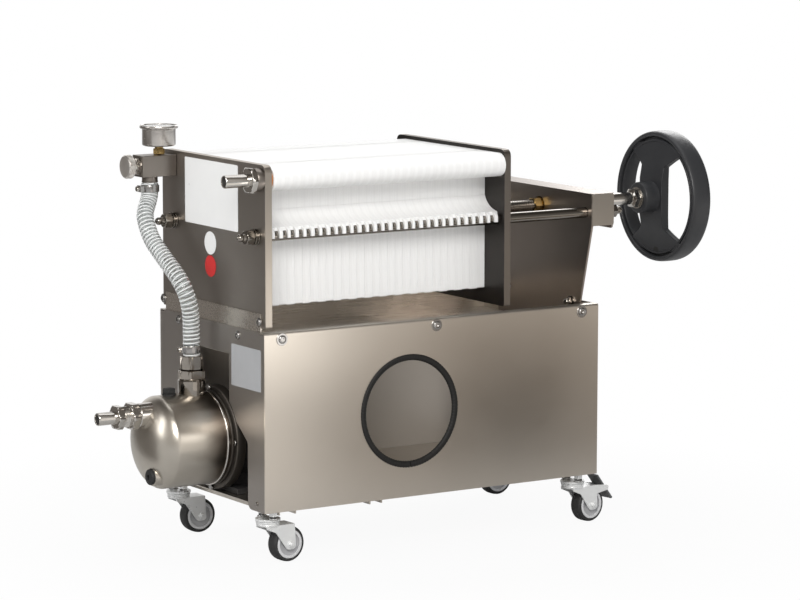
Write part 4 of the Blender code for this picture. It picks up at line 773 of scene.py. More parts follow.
def add_prism(bm, outline, axis, start, end):
    """An outline extruded along an axis, added to bm."""
    face = bm.faces.new([bm.verts.new(on_axis(axis, start, a, b)) for a, b in outline])
    grown = bmesh.ops.extrude_face_region(bm, geom=[face])
    moved = [v for v in grown["geom"] if isinstance(v, bmesh.types.BMVert)]
    bmesh.ops.translate(bm, vec=on_axis(axis, end - start, 0, 0), verts=moved)
    return bm


def arc(centre, radius, first, last, steps):
    """Points on an arc, from and to angles in degrees."""
    angles = [radians(first + (last - first) * i / steps) for i in range(steps + 1)]
    return [(centre[0] + radius * cos(a), centre[1] + radius * sin(a)) for a in angles]


# %% [markdown]
# ## Solids that keep their own shape
#
# Panels, rails and thick plates were measured well enough to stay. What a raw solid lacks is the
# small rounding that every real edge has, and that catches the light. A Weld and a Bevel modifier
# add it without touching the mesh.

# %% Finishes and soft edges for the kept solids
KEPT = {
    "front_panel": (PANEL, 0.0), "back_panel": (BACK_STEEL, 0.0),
    "end_panel_left": (END_STEEL, 0.0003), "end_panel_right": (END_STEEL, 0.0003),
    "floor_pan": (PANEL, 0.0), "cross_rail_1": (PANEL, 0.0004), "cross_rail_2": (PANEL, 0.0004),
    "drip_basin": (BASIN, 0.0003), "head_plate": (DARK_STEEL, 0.0006),
    "press_plate": (SHADED_PRESS_STEEL, 0.0006), "rear_shoulder": (SHOULDER_STEEL, 0.0005),
    "pump_lantern": (BLACK_CAST, 0.0008), "pump_motor": (BLACK_CAST, 0.0005),
    "castor_mount_front_left": (CASTOR_ZINC, 0.0004),
    "castor_mount_rear_left": (CASTOR_ZINC, 0.0004),
    "castor_mount_front_right": (CASTOR_ZINC, 0.0004),
    "castor_mount_rear_right": (CASTOR_ZINC, 0.0004),
    "port_gasket_front": (AMBER, 0.0003), "port_gasket_rear": (AMBER, 0.0003),
}
for node_name, (look, width) in KEPT.items():
    dressed(NODES[node_name], look, width)
print("kept solids:", len(KEPT))

# %% [markdown]
# ## Filter plates
#
# Each plate is a moulded frame with a round port ear at both top corners and a hook on either side
# that hangs on a guide rod. One long block with lines drawn on it would be quick, but the hooks and
# the fine gaps show in the picture, so thirty plates share one mesh.

# %% One plate, thinner at the tips of its hooks
PACK_Y = -0.0055
ROD_Z = 0.4228
ROD_RADIUS = 0.0070
ROD_HALF_SPACING = 0.107
PORT_Z = 0.4960
PORT_HALF_SPACING = 0.1145
PACK_START, PACK_END, PLATE_COUNT = 0.0165, 0.3687, 30
PLATE_PITCH = (PACK_END - PACK_START) / PLATE_COUNT
PLATE_HALF_WIDTH = 0.0805
PLATE_BOTTOM = 0.328
EAR_RADIUS = 0.0155
HOOK_TIP = 0.1172
HOOK_ROOT, HOOK_TIP_TOP, HOOK_BOTTOM = 0.4530, 0.4290, 0.4200
NOTCH = ROD_RADIUS + 0.0003
TIP_START, TIP_START_TOP = 0.1100, 0.4334
BODY_THICKNESS = PLATE_PITCH - 0.00001
PLATE_FORMS = ((0.0038, 0.0), (0.0048, 0.0007))     # thickness of the tip, lift of the lower edge
PLATE_SOFTENING = 0.00004


def plate_mesh(name, tip_thickness, lift):
    """A plate about its own middle: ears and body almost touch the next plate's, tips don't."""
    bm = bmesh.new()
    rod = ROD_HALF_SPACING
    half = PLATE_HALF_WIDTH
    low, top = PLATE_BOTTOM + lift, PORT_Z + EAR_RADIUS
    body = [(-half, top), (-half, low + 0.001), (-half + 0.001, low), (half - 0.001, low),
            (half, low + 0.001), (half, top)]
    add_prism(bm, [(PACK_Y + a, b) for a, b in body], "X", -BODY_THICKNESS / 2, BODY_THICKNESS / 2)
    ear = arc((PORT_HALF_SPACING, PORT_Z), EAR_RADIUS, -90, 90, 14)
    ear += [(0.070, PORT_Z + EAR_RADIUS), (0.070, PORT_Z - EAR_RADIUS)]
    start, bend = (half + 0.0002, HOOK_ROOT), (half + 0.0060, 0.4375)
    end = (TIP_START, TIP_START_TOP)
    arm = [(0.0775, HOOK_ROOT)]
    arm += [tuple((1 - t) ** 2 * a + 2 * t * (1 - t) * b + t * t * c
                  for a, b, c in zip(start, bend, end)) for t in (i / 8 for i in range(9))]
    arm += [(rod + NOTCH * cos(radians(a)), ROD_Z + NOTCH * sin(radians(a)))
            for a in (57, 72, 90, 120, 150, 180)]
    arm += [(rod - NOTCH, HOOK_BOTTOM), (0.0775, HOOK_BOTTOM)]
    tip = [(TIP_START - 0.0002, TIP_START_TOP), (HOOK_TIP - 0.0030, HOOK_TIP_TOP + 0.0024),
           (HOOK_TIP - 0.0008, HOOK_TIP_TOP + 0.0006), (HOOK_TIP, HOOK_TIP_TOP - 0.0020),
           (HOOK_TIP, HOOK_BOTTOM), (rod + NOTCH, HOOK_BOTTOM)]
    tip += [(rod + NOTCH * cos(radians(a)), ROD_Z + NOTCH * sin(radians(a)))
            for a in (0, 20, 40, 58)]
    for outline, thickness in ((ear, BODY_THICKNESS), (arm, BODY_THICKNESS), (tip, tip_thickness)):
        for side in (-1, 1):
            add_prism(bm, [(PACK_Y + side * a, b) for a, b in outline], "X",
                      -thickness / 2, thickness / 2)
    bmesh.ops.recalc_face_normals(bm, faces=bm.faces)
    mesh = bpy.data.meshes.new(name)
    bm.to_mesh(mesh)
    bm.free()
    mesh.materials.append(PLATE_WHITE)
    mesh.shade_smooth()
    mesh.set_sharp_from_angle(angle=radians(SHARP_ANGLE))
    return mesh


# %% Thirty plates in a row
plate_meshes = [plate_mesh(f"plate_form_{i}", *form) for i, form in enumerate(PLATE_FORMS)]
for number in range(PLATE_COUNT):
    plate = bpy.data.objects.new(f"filter_plate_{number + 1:02d}", plate_meshes[number % 2])
    bpy.context.scene.collection.objects.link(plate)
    plate.location = (MACHINE_X + PACK_START + (number + 0.5) * PLATE_PITCH, 0, 0)
    soft_edges(plate, PLATE_SOFTENING)
    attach(plate, "frame")
    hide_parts(f"filter_plates_{number // 10 + 1}")
print("plates:", PLATE_COUNT, "pitch in millimetres:", round(PLATE_PITCH * 1000, 2))

# %% [markdown]
# ## Guide rods, spindle and brass nut
#
# The rods end in hexagon nuts with a ball on top. The spindle carries a real thread, because its
# nut moves it: the thread is a tube whose radius follows a helix, which is closed and cheap.

# %% Guide rods with their cap nuts
HEAD_FACE = 0.0033
SHOULDER_X = 0.5124
CHANNEL_END = SHOULDER_X + 0.0361


def cap_nut(seat, outward, packing):
    """Washers, a hexagon nut and its ball, from the seat outwards."""
    def go(length):
        return seat + outward * length
    sections = [(go(0), 0.0102), (go(0.0004), 0.0105), (go(0.0016), 0.0105), (go(0.0019), 0.0102)]
    if packing:
        sections += [(go(0.0020), 0.0088), (go(0.0038), 0.0088), (go(0.0039), 0.0102),
                     (go(0.0043), 0.0105), (go(0.0056), 0.0105), (go(0.0059), 0.0102)]
    start = 0.0060 if packing else 0.0020
    sections += nut(go(start), go(start + 0.0112), 0.0098)
    sections += [(go(start + 0.0114), 0.0050), (go(start + 0.0134), 0.0044)]
    ball, middle = 0.0052, go(start + 0.0175)
    for degrees in (128, 110, 90, 70, 52, 36, 20, 7):
        sections.append((middle + outward * ball * cos(radians(degrees)),
                         ball * sin(radians(degrees))))
    return sections


for rod_name, side in (("guide_rod_front", -1), ("guide_rod_rear", 1)):
    left_cap = list(reversed(cap_nut(HEAD_FACE, -1, True)))
    right_cap = cap_nut(CHANNEL_END + 0.0003, 1, False)
    shaft = [(HEAD_FACE, ROD_RADIUS), (CHANNEL_END + 0.0003, ROD_RADIUS)]
    add_piece(f"{rod_name}_turned", turned(left_cap + shaft + right_cap, "X",
                                           (PACK_Y + side * ROD_HALF_SPACING, ROD_Z), 48),
              ROD_STEEL, stands_for=(rod_name,))
print("guide rods:", new_pieces())

# %% Spindle with its thread
SPINDLE_RADIUS, THREAD_PITCH, THREAD_DEPTH = 0.0078, 0.0040, 0.00025
THREAD_START, THREAD_END = 0.3836, 0.5560
THREAD_STEP = 0.00066
THREAD_SIDES = 36


def thread_radius(along, angle):
    """A trapezoid wave that climbs one pitch in each turn."""
    phase = (along / THREAD_PITCH - angle / (2 * pi)) % 1
    wave = min(1, max(0, (abs(phase - 0.5) * 4 - 0.6) / 0.8))
    return SPINDLE_RADIUS - THREAD_DEPTH * wave


bm = bmesh.new()
loops = []
steps = int((THREAD_END - THREAD_START) / THREAD_STEP)
for step in range(steps + 1):
    along = THREAD_START + (THREAD_END - THREAD_START) * step / steps
    loop = []
    for i in range(THREAD_SIDES):
        angle = 2 * pi * i / THREAD_SIDES
        reach = thread_radius(along, angle)
        loop.append(bm.verts.new((along, PACK_Y + reach * cos(angle), ROD_Z + reach * sin(angle))))
    loops.append(loop)
skin_over(bm, loops)
add_piece("spindle_thread", bm, ROD_STEEL, "spindle", sharp=60, stands_for=("spindle",))
LOCK_NUT_X = 0.6672
sleeve = [(0.5558, 0.0078), (0.5566, 0.0087), (LOCK_NUT_X - 0.001, 0.0087)]
sleeve += nut(LOCK_NUT_X, LOCK_NUT_X + 0.0096, 0.0140)
sleeve += [(LOCK_NUT_X + 0.0097, 0.0150), (LOCK_NUT_X + 0.0114, 0.0150),
           (LOCK_NUT_X + 0.0115, 0.0077), (0.7150, 0.0077)]
add_piece("spindle_sleeve", turned(sleeve, "X", (PACK_Y, ROD_Z), 48), BRIGHT_STEEL, "spindle")
print("spindle:", new_pieces())

# %% Brass nut in the shoulder, and the thrust cup on the press plate
SHOULDER_SHEET = 0.0030
nut_seat, nut_rise = SHOULDER_X - 0.0003, 0.0125
sheet_back = SHOULDER_X + SHOULDER_SHEET
bore = 0.0083
brass = [(nut_seat - nut_rise, bore)] + nut(nut_seat - nut_rise, nut_seat, 0.0112)
brass += [(nut_seat, 0.0110), (sheet_back + 0.0003, 0.0110), (sheet_back + 0.0003, 0.0152),
          (sheet_back + 0.0010, 0.0160), (sheet_back + 0.0056, 0.0160),
          (sheet_back + 0.0063, 0.0152), (sheet_back + 0.0063, bore)]
add_piece("spindle_nut_turned", turned(brass, "X", (PACK_Y, ROD_Z), 48, ring=True), BRASS,
          stands_for=("spindle_nut",))
PRESS_BACK = 0.3790
CUP_START = PRESS_BACK + 0.0003
cup = [(CUP_START, 0.0155), (CUP_START + 0.0010, 0.0165), (CUP_START + 0.0165, 0.0165),
       (CUP_START + 0.0175, 0.0155), (CUP_START + 0.0175, bore), (CUP_START + 0.0040, bore)]
add_piece("thrust_cup_turned", turned(cup, "X", (PACK_Y, ROD_Z), 48), ROD_STEEL, "press_plate",
          stands_for=("thrust_cup",))
print("nut and cup:", new_pieces())

# %% Caps on the channel's two ends, and the lip along its far side
CAP_LOW, CAP_HIGH, CAP_CORNER = 0.4058, 0.4490, 0.0030
SHOULDER_HALF_WIDTH, CAP_SHEET = 0.1235, 0.0014
near, far = SHOULDER_X + 0.0004, CHANNEL_END - 0.0004
outline = []
for a, b, first in ((far - CAP_CORNER, CAP_HIGH - CAP_CORNER, 0),
                    (near + CAP_CORNER, CAP_HIGH - CAP_CORNER, 90),
                    (near + CAP_CORNER, CAP_LOW + CAP_CORNER, 180),
                    (far - CAP_CORNER, CAP_LOW + CAP_CORNER, 270)):
    outline += arc((a, b), CAP_CORNER, first, first + 90, 4)
for end_name, side in (("front", -1), ("rear", 1)):
    face = PACK_Y + side * SHOULDER_HALF_WIDTH
    cover = add_prism(bmesh.new(), outline, "Y", face + side * CAP_SHEET, face)
    add_piece(f"channel_cap_{end_name}", cover, CAP_STEEL, soften=0.0006)
bm = bmesh.new()
lip_half = SHOULDER_HALF_WIDTH - 0.0010
lip = [(PACK_Y - lip_half, 0.4070), (PACK_Y + lip_half, 0.4070)]
lip += arc((PACK_Y + lip_half - 0.003, 0.4042), 0.003, 0, -90, 4)
lip += arc((PACK_Y - lip_half + 0.003, 0.4042), 0.003, -90, -180, 4)
add_prism(bm, lip, "X", CHANNEL_END - 0.0030, CHANNEL_END - 0.0002)
add_piece("channel_lip", bm, SHOULDER_STEEL, soften=0.0004)
print("channel:", new_pieces())

# %% [markdown]
# ## Handwheel
#
# A moulded wheel: a rim with a rounded section, a web of two broad arms that is dished towards the
# hub, and a turned hub. The web is a loft, because its faces lean and its width changes from the
# hub to the rim, which a plain extrusion can't follow.

# %% Rim
WHEEL_X = 0.7235
WHEEL_RADIUS, RIM_RADIAL, RIM_AXIAL = 0.0915, 0.0085, 0.0300
RIM_MEAN = WHEEL_RADIUS - RIM_RADIAL / 2
RIM_STEPS, RIM_SQUARENESS = 28, 0.62
HUB_START = 0.6790
AXIS = (PACK_Y, ROD_Z)

rim_section = []
for step in range(RIM_STEPS):
    angle = 2 * pi * step / RIM_STEPS
    flat = abs(cos(angle)) ** RIM_SQUARENESS * (1 if cos(angle) >= 0 else -1)
    high = abs(sin(angle)) ** RIM_SQUARENESS * (1 if sin(angle) >= 0 else -1)
    rim_section.append((WHEEL_X + RIM_AXIAL / 2 * flat, RIM_MEAN + RIM_RADIAL / 2 * high))
add_piece("handwheel_rim", turned(rim_section, "X", AXIS, 120, ring=True), BLACK_PLASTIC,
          "spindle", sharp=50, stands_for=("handwheel",))
print("rim:", new_pieces())

# %% Web: a loft through fourteen stations, seven above the hub and seven below
# Height from the axis, half the width, front face and back face, from the hub to the rim.
WEB_SHAPE = ((0.0250, 0.0260, -0.0224, -0.0095), (0.0430, 0.0262, -0.0190, -0.0090),
             (0.0500, 0.0360, -0.0162, -0.0068), (0.0620, 0.0560, -0.0125, -0.0030),
             (0.0720, 0.0445, -0.0116, -0.0014), (0.0780, 0.0200, -0.0114, -0.0014),
             (0.0798, 0.0080, -0.0114, -0.0014))
bm = bmesh.new()
stations = list(reversed(WEB_SHAPE)) + [(-height, *rest) for height, *rest in WEB_SHAPE]
loops = []
for height, half, front, back in stations:
    corners = ((front, -half), (front, half), (back, half), (back, -half))
    loops.append([bm.verts.new((WHEEL_X + a, PACK_Y + b, ROD_Z + height)) for a, b in corners])
skin_over(bm, loops)
add_piece("handwheel_web", bm, WEB_PLASTIC, "spindle", sharp=40, soften=0.0012)
print("web:", new_pieces())

# %% Inner ring, hub, crank socket and set bolt
inner_ring = [(WHEEL_X - 0.0116, 0.0768), (WHEEL_X - 0.0124, 0.0776), (WHEEL_X - 0.0124, 0.0800),
              (WHEEL_X - 0.0116, 0.0808), (WHEEL_X - 0.0075, 0.0808), (WHEEL_X - 0.0075, 0.0840),
              (WHEEL_X + 0.0060, 0.0840), (WHEEL_X + 0.0060, 0.0768)]
add_piece("handwheel_inner_ring", turned(inner_ring, "X", AXIS, 120, ring=True), WEB_PLASTIC,
          "spindle", sharp=45)
hub = [(HUB_START, 0.0080), (HUB_START, 0.0200), (HUB_START + 0.0006, 0.0211),
       (HUB_START + 0.0018, 0.0217), (HUB_START + 0.0120, 0.0220), (WHEEL_X - 0.0225, 0.0222),
       (WHEEL_X - 0.0195, 0.0240), (WHEEL_X - 0.0100, 0.0240), (WHEEL_X - 0.0084, 0.0228),
       (WHEEL_X - 0.0080, 0.0080)]
add_piece("handwheel_hub", turned(hub, "X", AXIS, 72, ring=True), WEB_PLASTIC, "spindle",
          sharp=45)
GROOVE_X = WHEEL_X - 0.0114
# Painted shade: a near-black plug stands for the shade in the crank socket.
crank_socket = [(GROOVE_X - 0.0003, 0.0052), (GROOVE_X + 0.0090, 0.0052)]
add_piece("handwheel_crank_socket", turned(crank_socket, "X", (PACK_Y, ROD_Z - 0.0748), 32),
          HOLE_SHADE, "spindle")
add_piece("handwheel_set_bolt", turned(rounded(WHEEL_X - 0.0090, WHEEL_X - 0.0070, 0.0120,
                                               0.0006), "X", AXIS, 48), BRIGHT_STEEL, "spindle")
print("hub:", new_pieces())

# %% [markdown]
# ## Pump
#
# The pump's can is drawn from sheet: a straight wall, a round shoulder and a domed face in one
# curve. A smooth profile is worth many points here, because the light runs round it in long bands.

# %% The can, its seam and its collar
PUMP_Z = 0.1496
CAN_RADIUS, CAN_END = 0.0605, -0.001
PUMP_AXIS = (0, PUMP_Z)
DISH_START, DISH_DEPTH, DISH_STEPS = -0.0785, 0.0272, 34
DISH_RADIAL_POWER, DISH_AXIAL_POWER = 2.1, 1.65
DISH_MIDDLE = 0.0004
can = []
for step in range(DISH_STEPS):
    share = sin(radians(90 * step / DISH_STEPS))
    depth = DISH_DEPTH * (1 - share ** DISH_RADIAL_POWER) ** (1 / DISH_AXIAL_POWER)
    can.append((DISH_START - depth, max(CAN_RADIUS * share, DISH_MIDDLE)))
can += [(DISH_START + 0.0010, CAN_RADIUS), (-0.0600, CAN_RADIUS), (-0.0300, CAN_RADIUS),
        (-0.0142, CAN_RADIUS), (CAN_END, CAN_RADIUS)]
add_piece("pump_can", turned(can, "X", PUMP_AXIS, 144), CAN_STEEL, sharp=50,
          stands_for=("pump_body",))
weld = [(-0.0096 + 0.0016 * cos(2 * pi * i / 12), 0.0609 + 0.0014 * sin(2 * pi * i / 12))
        for i in range(12)]
add_piece("pump_can_seam", turned(weld, "X", PUMP_AXIS, 144, ring=True), BRIGHT_STEEL, sharp=60)
add_piece("pump_can_collar", turned([(-0.0050, 0.0600)] + rounded(-0.0048, CAN_END, 0.0622, 0.0008),
                                    "X", PUMP_AXIS, 144), LANTERN_STEEL)
print("can:", new_pieces())

# %% Bosses, discharge union and plugs of the can
SUCTION_Z = PUMP_Z + 0.038
DISCHARGE_X = -0.029
discharge = [(PUMP_Z, 0.0182), (0.2118, 0.0180), (0.2124, 0.0182), (0.2268, 0.0182),
             (0.2282, 0.0170)]
discharge += nut(0.2290, 0.2408, 0.0198, 0.0014)
discharge += [(0.2410, 0.0145)]
add_piece("pump_discharge_boss", turned(discharge, "Z", (DISCHARGE_X, 0), 72), UNION_STEEL)
add_piece("discharge_union_turned", turned(
    [(0.2413, 0.0130)] + nut(0.2414, 0.2592, 0.0172, 0.0014) + [(0.2594, 0.0120)],
    "Z", (DISCHARGE_X, 0), 72), UNION_STEEL, stands_for=("discharge_union",))
suction_boss = [(-0.1109, 0.0135), (-0.1104, 0.0148), (-0.1094, 0.0155), (-0.0820, 0.0155)]
add_piece("pump_suction_boss", turned(suction_boss, "X", (0, SUCTION_Z), 64), BRIGHT_STEEL)
DRAIN_Y, DRAIN_Z = -0.018, PUMP_Z - 0.0405
add_piece("pump_drain_boss", turned([(-0.0992, 0.0108), (-0.0987, 0.0118), (-0.0976, 0.0120),
                                     (-0.0800, 0.0120)], "X", (DRAIN_Y, DRAIN_Z), 48), CAN_STEEL)
drain = [(-0.1012, 0.0002), (-0.1012, 0.0036, 6), (-0.1038, 0.0036, 6), (-0.1038, 0.0076),
         (-0.1035, 0.0090), (-0.1026, 0.0100), (-0.1015, 0.0104), (-0.0995, 0.0104)]
add_piece("drain_plug_turned", turned(drain, "X", (DRAIN_Y, DRAIN_Z), 48), PLUG_PLASTIC,
          stands_for=("drain_plug",))
PLUG_SEAT = PUMP_Z + CAN_RADIUS + 0.0003
priming = [(PLUG_SEAT - 0.0012, 0.0088), (PLUG_SEAT + 0.0014, 0.0088),
           (PLUG_SEAT + 0.0020, 0.0082)]
priming += nut(PLUG_SEAT + 0.0022, PLUG_SEAT + 0.0082, 0.0092, 0.0010)
priming += [(PLUG_SEAT + 0.0085, 0.0060)]
add_piece("priming_plug_turned", turned(priming, "Z", (-0.0626, 0), 48), PLUG_PLASTIC,
          stands_for=("priming_plug",))
print("bosses and plugs:", new_pieces())

# %% Lantern: its rim and the bolts round it
LANTERN_RADIUS = 0.068
lantern_rim = [(-0.0009, 0.0628)] + rounded(-0.0007, 0.0124, LANTERN_RADIUS + 0.0004, 0.0014)
lantern_rim += [(0.0125, 0.0500)]
add_piece("lantern_rim", turned(lantern_rim, "X", PUMP_AXIS, 96), LANTERN_STEEL)


def hex_bolt(bm, place, direction, size=0.0062, head=0.0042, washer=True):
    """A hexagon bolt head with its washer, standing off a face along -X, +X or -Y."""
    axis = "X" if direction in ("-X", "+X") else "Y"
    step = -1 if direction.startswith("-") else 1
    start = place[0] if axis == "X" else place[1]
    centre = (place[1], place[2]) if axis == "X" else (place[0], place[2])
    sections = []
    if washer:
        sections += [(start, size * 1.32), (start + step * 0.0010, size * 1.32),
                     (start + step * 0.0012, size * 1.25)]
    base = start + step * (0.0013 if washer else 0)
    sections += nut(base, base + step * head, size, 0.0007)
    return lathe(bm, sections, axis, centre, 36)


BOLT_CIRCLE = 0.0655
bm = bmesh.new()
for angle in (radians(degrees) for degrees in (88, 178, 268, 358)):
    place = (-0.0007, BOLT_CIRCLE * cos(angle), PUMP_Z + BOLT_CIRCLE * sin(angle))
    hex_bolt(bm, place, "-X", size=0.0042, head=0.0034, washer=False)
add_piece("lantern_bolts", bm, ZINC)
print("lantern:", new_pieces())

# %% Suction union and outlet union, each with a bored tail
def tail(start, end, radius=0.0083, bore=0.0060):
    """A tail pipe with a rounded open end. The bore is closed deep inside."""
    step = -1 if end < start else 1
    return [(start, radius), (end - step * 0.0012, radius), (end - step * 0.0004, radius - 0.0004),
            (end, radius - 0.0012), (end - step * 0.0002, bore + 0.0003),
            (end - step * 0.0010, bore), (end - step * 0.0170, bore)]


union = nut(-0.1113, -0.1227, 0.0188, 0.0013)
union += [(-0.1229, 0.0134), (-0.1242, 0.0134), (-0.1244, 0.0128)]
union += [(-0.1245 - 0.0007 * i, 0.0128 + (0.0006 if i % 2 else 0)) for i in range(0, 12)]
union += [(-0.1330, 0.0128)]
union += nut(-0.1333, -0.1425, 0.0169, 0.0012)
union += [(-0.1427, 0.0112), (-0.1430, 0.0083)]
union += tail(-0.1432, -0.1675)
add_piece("suction_union_turned", turned(union, "X", (0, SUCTION_Z), 72), BRIGHT_STEEL,
          stands_for=("suction_union",))
# Painted shade: a near-black lining stands for the shade deep in the tail's bore.
add_piece("suction_bore", turned([(-0.1660, 0.0061), (-0.1435, 0.0061)], "X", (0, SUCTION_Z), 32),
          HOLE_SHADE)
OUTLET = (PACK_Y - PORT_HALF_SPACING, PORT_Z)
outlet = [(-0.0040, 0.0130)] + nut(-0.0062, -0.0142, 0.0180, 0.0016)
outlet += [(-0.0144, 0.0110), (-0.0146, 0.0085)]
outlet += tail(-0.0148, -0.0482)
add_piece("outlet_union_turned", turned(outlet, "X", OUTLET, 72), BRIGHT_STEEL,
          stands_for=("outlet_union",))
add_piece("outlet_flange", turned([(0.0033, 0.0150), (-0.0046, 0.0150), (-0.0056, 0.0144),
                                   (-0.0060, 0.0130)], "X", OUTLET, 64), BLOCK_STEEL)
# Painted shade: a near-black lining stands for the shade deep in the tail's bore.
add_piece("outlet_bore", turned([(-0.0467, 0.0061), (-0.0200, 0.0061)], "X", OUTLET, 32),
          HOLE_SHADE)
print("unions:", new_pieces())

# %% [markdown]
# ## Valve block and gauge
#
# The block is a plain bar of steel. The knob has a knurled rim: its radius steps in and out along
# the circle, which reads as straight knurling from any side.

# %% Valve block, gland and branch
REAR_PORT = (PACK_Y + PORT_HALF_SPACING, PORT_Z)
BLOCK_SIDE, BLOCK_END = 0.0280, 0.0033 - 0.0502
bm = bmesh.new()
add_box(bm, (BLOCK_END, REAR_PORT[0] - BLOCK_SIDE / 2, PORT_Z - BLOCK_SIDE / 2),
        (0.0033, REAR_PORT[0] + BLOCK_SIDE / 2, PORT_Z + BLOCK_SIDE / 2))
add_piece("valve_block_bar", bm, BLOCK_STEEL, soften=0.0007, stands_for=("valve_block",))
gland = [(BLOCK_END + 0.001, 0.0110), (BLOCK_END - 0.0004, 0.0110)]
gland += nut(BLOCK_END - 0.0006, BLOCK_END - 0.0052, 0.0125, 0.0008)
gland += [(BLOCK_END - 0.0054, 0.0098), (BLOCK_END - 0.0086, 0.0098),
          (BLOCK_END - 0.0090, 0.0092)]
add_piece("valve_gland", turned(gland, "X", REAR_PORT, 64), BRIGHT_STEEL)
branch = [(0.4740, 0.0098), (0.4744, 0.0108), (0.4760, 0.0108), (0.4764, 0.0104),
          (0.4815, 0.0104), (0.4830, 0.0104)]
add_piece("valve_branch", turned(branch, "Z", (-0.029, REAR_PORT[0]), 48), BLOCK_STEEL)
print("valve:", new_pieces())

# %% Knurled knob on its stem
KNOB_START, KNOB_END = -0.0562, -0.0662
KNURLS, KNURL_DEPTH = 44, 0.0006
bm = bmesh.new()
loops = []
profile = ((KNOB_START, 0.0136, False), (KNOB_START - 0.0010, 0.0150, False),
           (KNOB_START - 0.0018, 0.0155, True), (KNOB_END + 0.0018, 0.0155, True),
           (KNOB_END + 0.0010, 0.0150, False), (KNOB_END, 0.0138, False),
           (KNOB_END + 0.0003, 0.0128, False), (KNOB_END + 0.0003, 0.0010, False))
for along, radius, knurled in profile:
    loop = []
    for i in range(KNURLS * 4):
        angle = 2 * pi * i / (KNURLS * 4)
        reach = radius - (KNURL_DEPTH if knurled and i % 4 in (2, 3) else 0)
        loop.append(bm.verts.new((along, REAR_PORT[0] + reach * cos(angle),
                                  REAR_PORT[1] + reach * sin(angle))))
    loops.append(loop)
skin_over(bm, loops)
add_piece("valve_knob_turned", bm, KNOB_STEEL, "valve_knob", stands_for=("valve_knob",))
add_piece("valve_stem", turned([(-0.0565, 0.0040), (-0.0480, 0.0040)], "X", REAR_PORT, 32),
          BRIGHT_STEEL, "valve_knob")
print("knob:", new_pieces())

# %% Pressure gauge: drum, rolled bezel, dial, pointer and glass
GAUGE = (-0.0150, REAR_PORT[0])
drum = [(0.5214, 0.0060), (0.5215, 0.0196), (0.5219, 0.0208), (0.5226, 0.0216), (0.5238, 0.0220),
        (0.5400, 0.0220), (0.5436, 0.0221), (0.5440, 0.0226)]
drum += [(0.5444, 0.0242), (0.5449, 0.0249), (0.5456, 0.0252), (0.5474, 0.0252), (0.5481, 0.0250),
         (0.5486, 0.0244), (0.5486, 0.0234), (0.5482, 0.0230), (0.5462, 0.0229), (0.5456, 0.0224)]
add_piece("gauge_drum", turned(drum, "Z", GAUGE, 96), GAUGE_STEEL, stands_for=("pressure_gauge",))
DIAL_Z = 0.5459
add_piece("gauge_dial", turned([(DIAL_Z - 0.0004, 0.0226), (DIAL_Z, 0.0226)], "Z", GAUGE, 64),
          LABEL)
TICKS, TICKS_TO_LONG, SCALE_START, SCALE_SWEEP = 40, 5, 225, 270
bm = bmesh.new()
for i in range(TICKS + 1):
    angle = radians(SCALE_START - SCALE_SWEEP * i / TICKS)
    inner, half = (0.0178, 0.00012) if i % TICKS_TO_LONG else (0.0160, 0.00028)
    along = Vector((cos(angle), sin(angle), 0))
    side = Vector((-along.y, along.x, 0))
    middle = Vector((GAUGE[0], GAUGE[1], DIAL_Z + 0.00005))
    points = [middle + along * reach + side * half * sign
              for reach, sign in ((inner, -1), (0.0200, -1), (0.0200, 1), (inner, 1))]
    bm.faces.new([bm.verts.new(p) for p in points])
add_piece("gauge_scale", bm, LABEL_INK)
bm = bmesh.new()
point_z = DIAL_Z + 0.0008
direction = Vector((cos(radians(222)), sin(radians(222)), 0))
side = Vector((-direction.y, direction.x, 0))
middle = Vector((GAUGE[0], GAUGE[1], point_z))
tail_end, tip_end = middle - direction * 0.0060, middle + direction * 0.0170
outline = (tail_end - side * 0.0011, middle - side * 0.0008, tip_end - side * 0.0001,
           tip_end + side * 0.0001, middle + side * 0.0008, tail_end + side * 0.0011)
face = bm.faces.new([bm.verts.new(p) for p in outline])
grown = bmesh.ops.extrude_face_region(bm, geom=[face])
bmesh.ops.translate(bm, vec=(0, 0, 0.0003),
                    verts=[v for v in grown["geom"] if isinstance(v, bmesh.types.BMVert)])
lathe(bm, [(DIAL_Z, 0.0022), (point_z + 0.0006, 0.0022), (point_z + 0.0008, 0.0018)], "Z",
      GAUGE, 24)
add_piece("gauge_pointer", bm, LABEL_INK)
add_piece("gauge_glass", turned([(0.5474, 0.0229), (0.5478, 0.0229)], "Z", GAUGE, 64), GLASS)
stem = nut(0.5104, 0.5178, 0.0085, 0.0009) + [(0.5180, 0.0055), (0.5213, 0.0055)]
add_piece("gauge_stem_turned", turned(stem, "Z", GAUGE, 48), BRASS, stands_for=("gauge_stem",))
print("gauge:", new_pieces())

# %% [markdown]
# ## Access hole, screws and bare labels
#
# The hole's edging is a ribbed rubber strip bent into a ring, and its two ends meet at the bottom.
# Labels keep their place and colour, but nothing is printed on them.

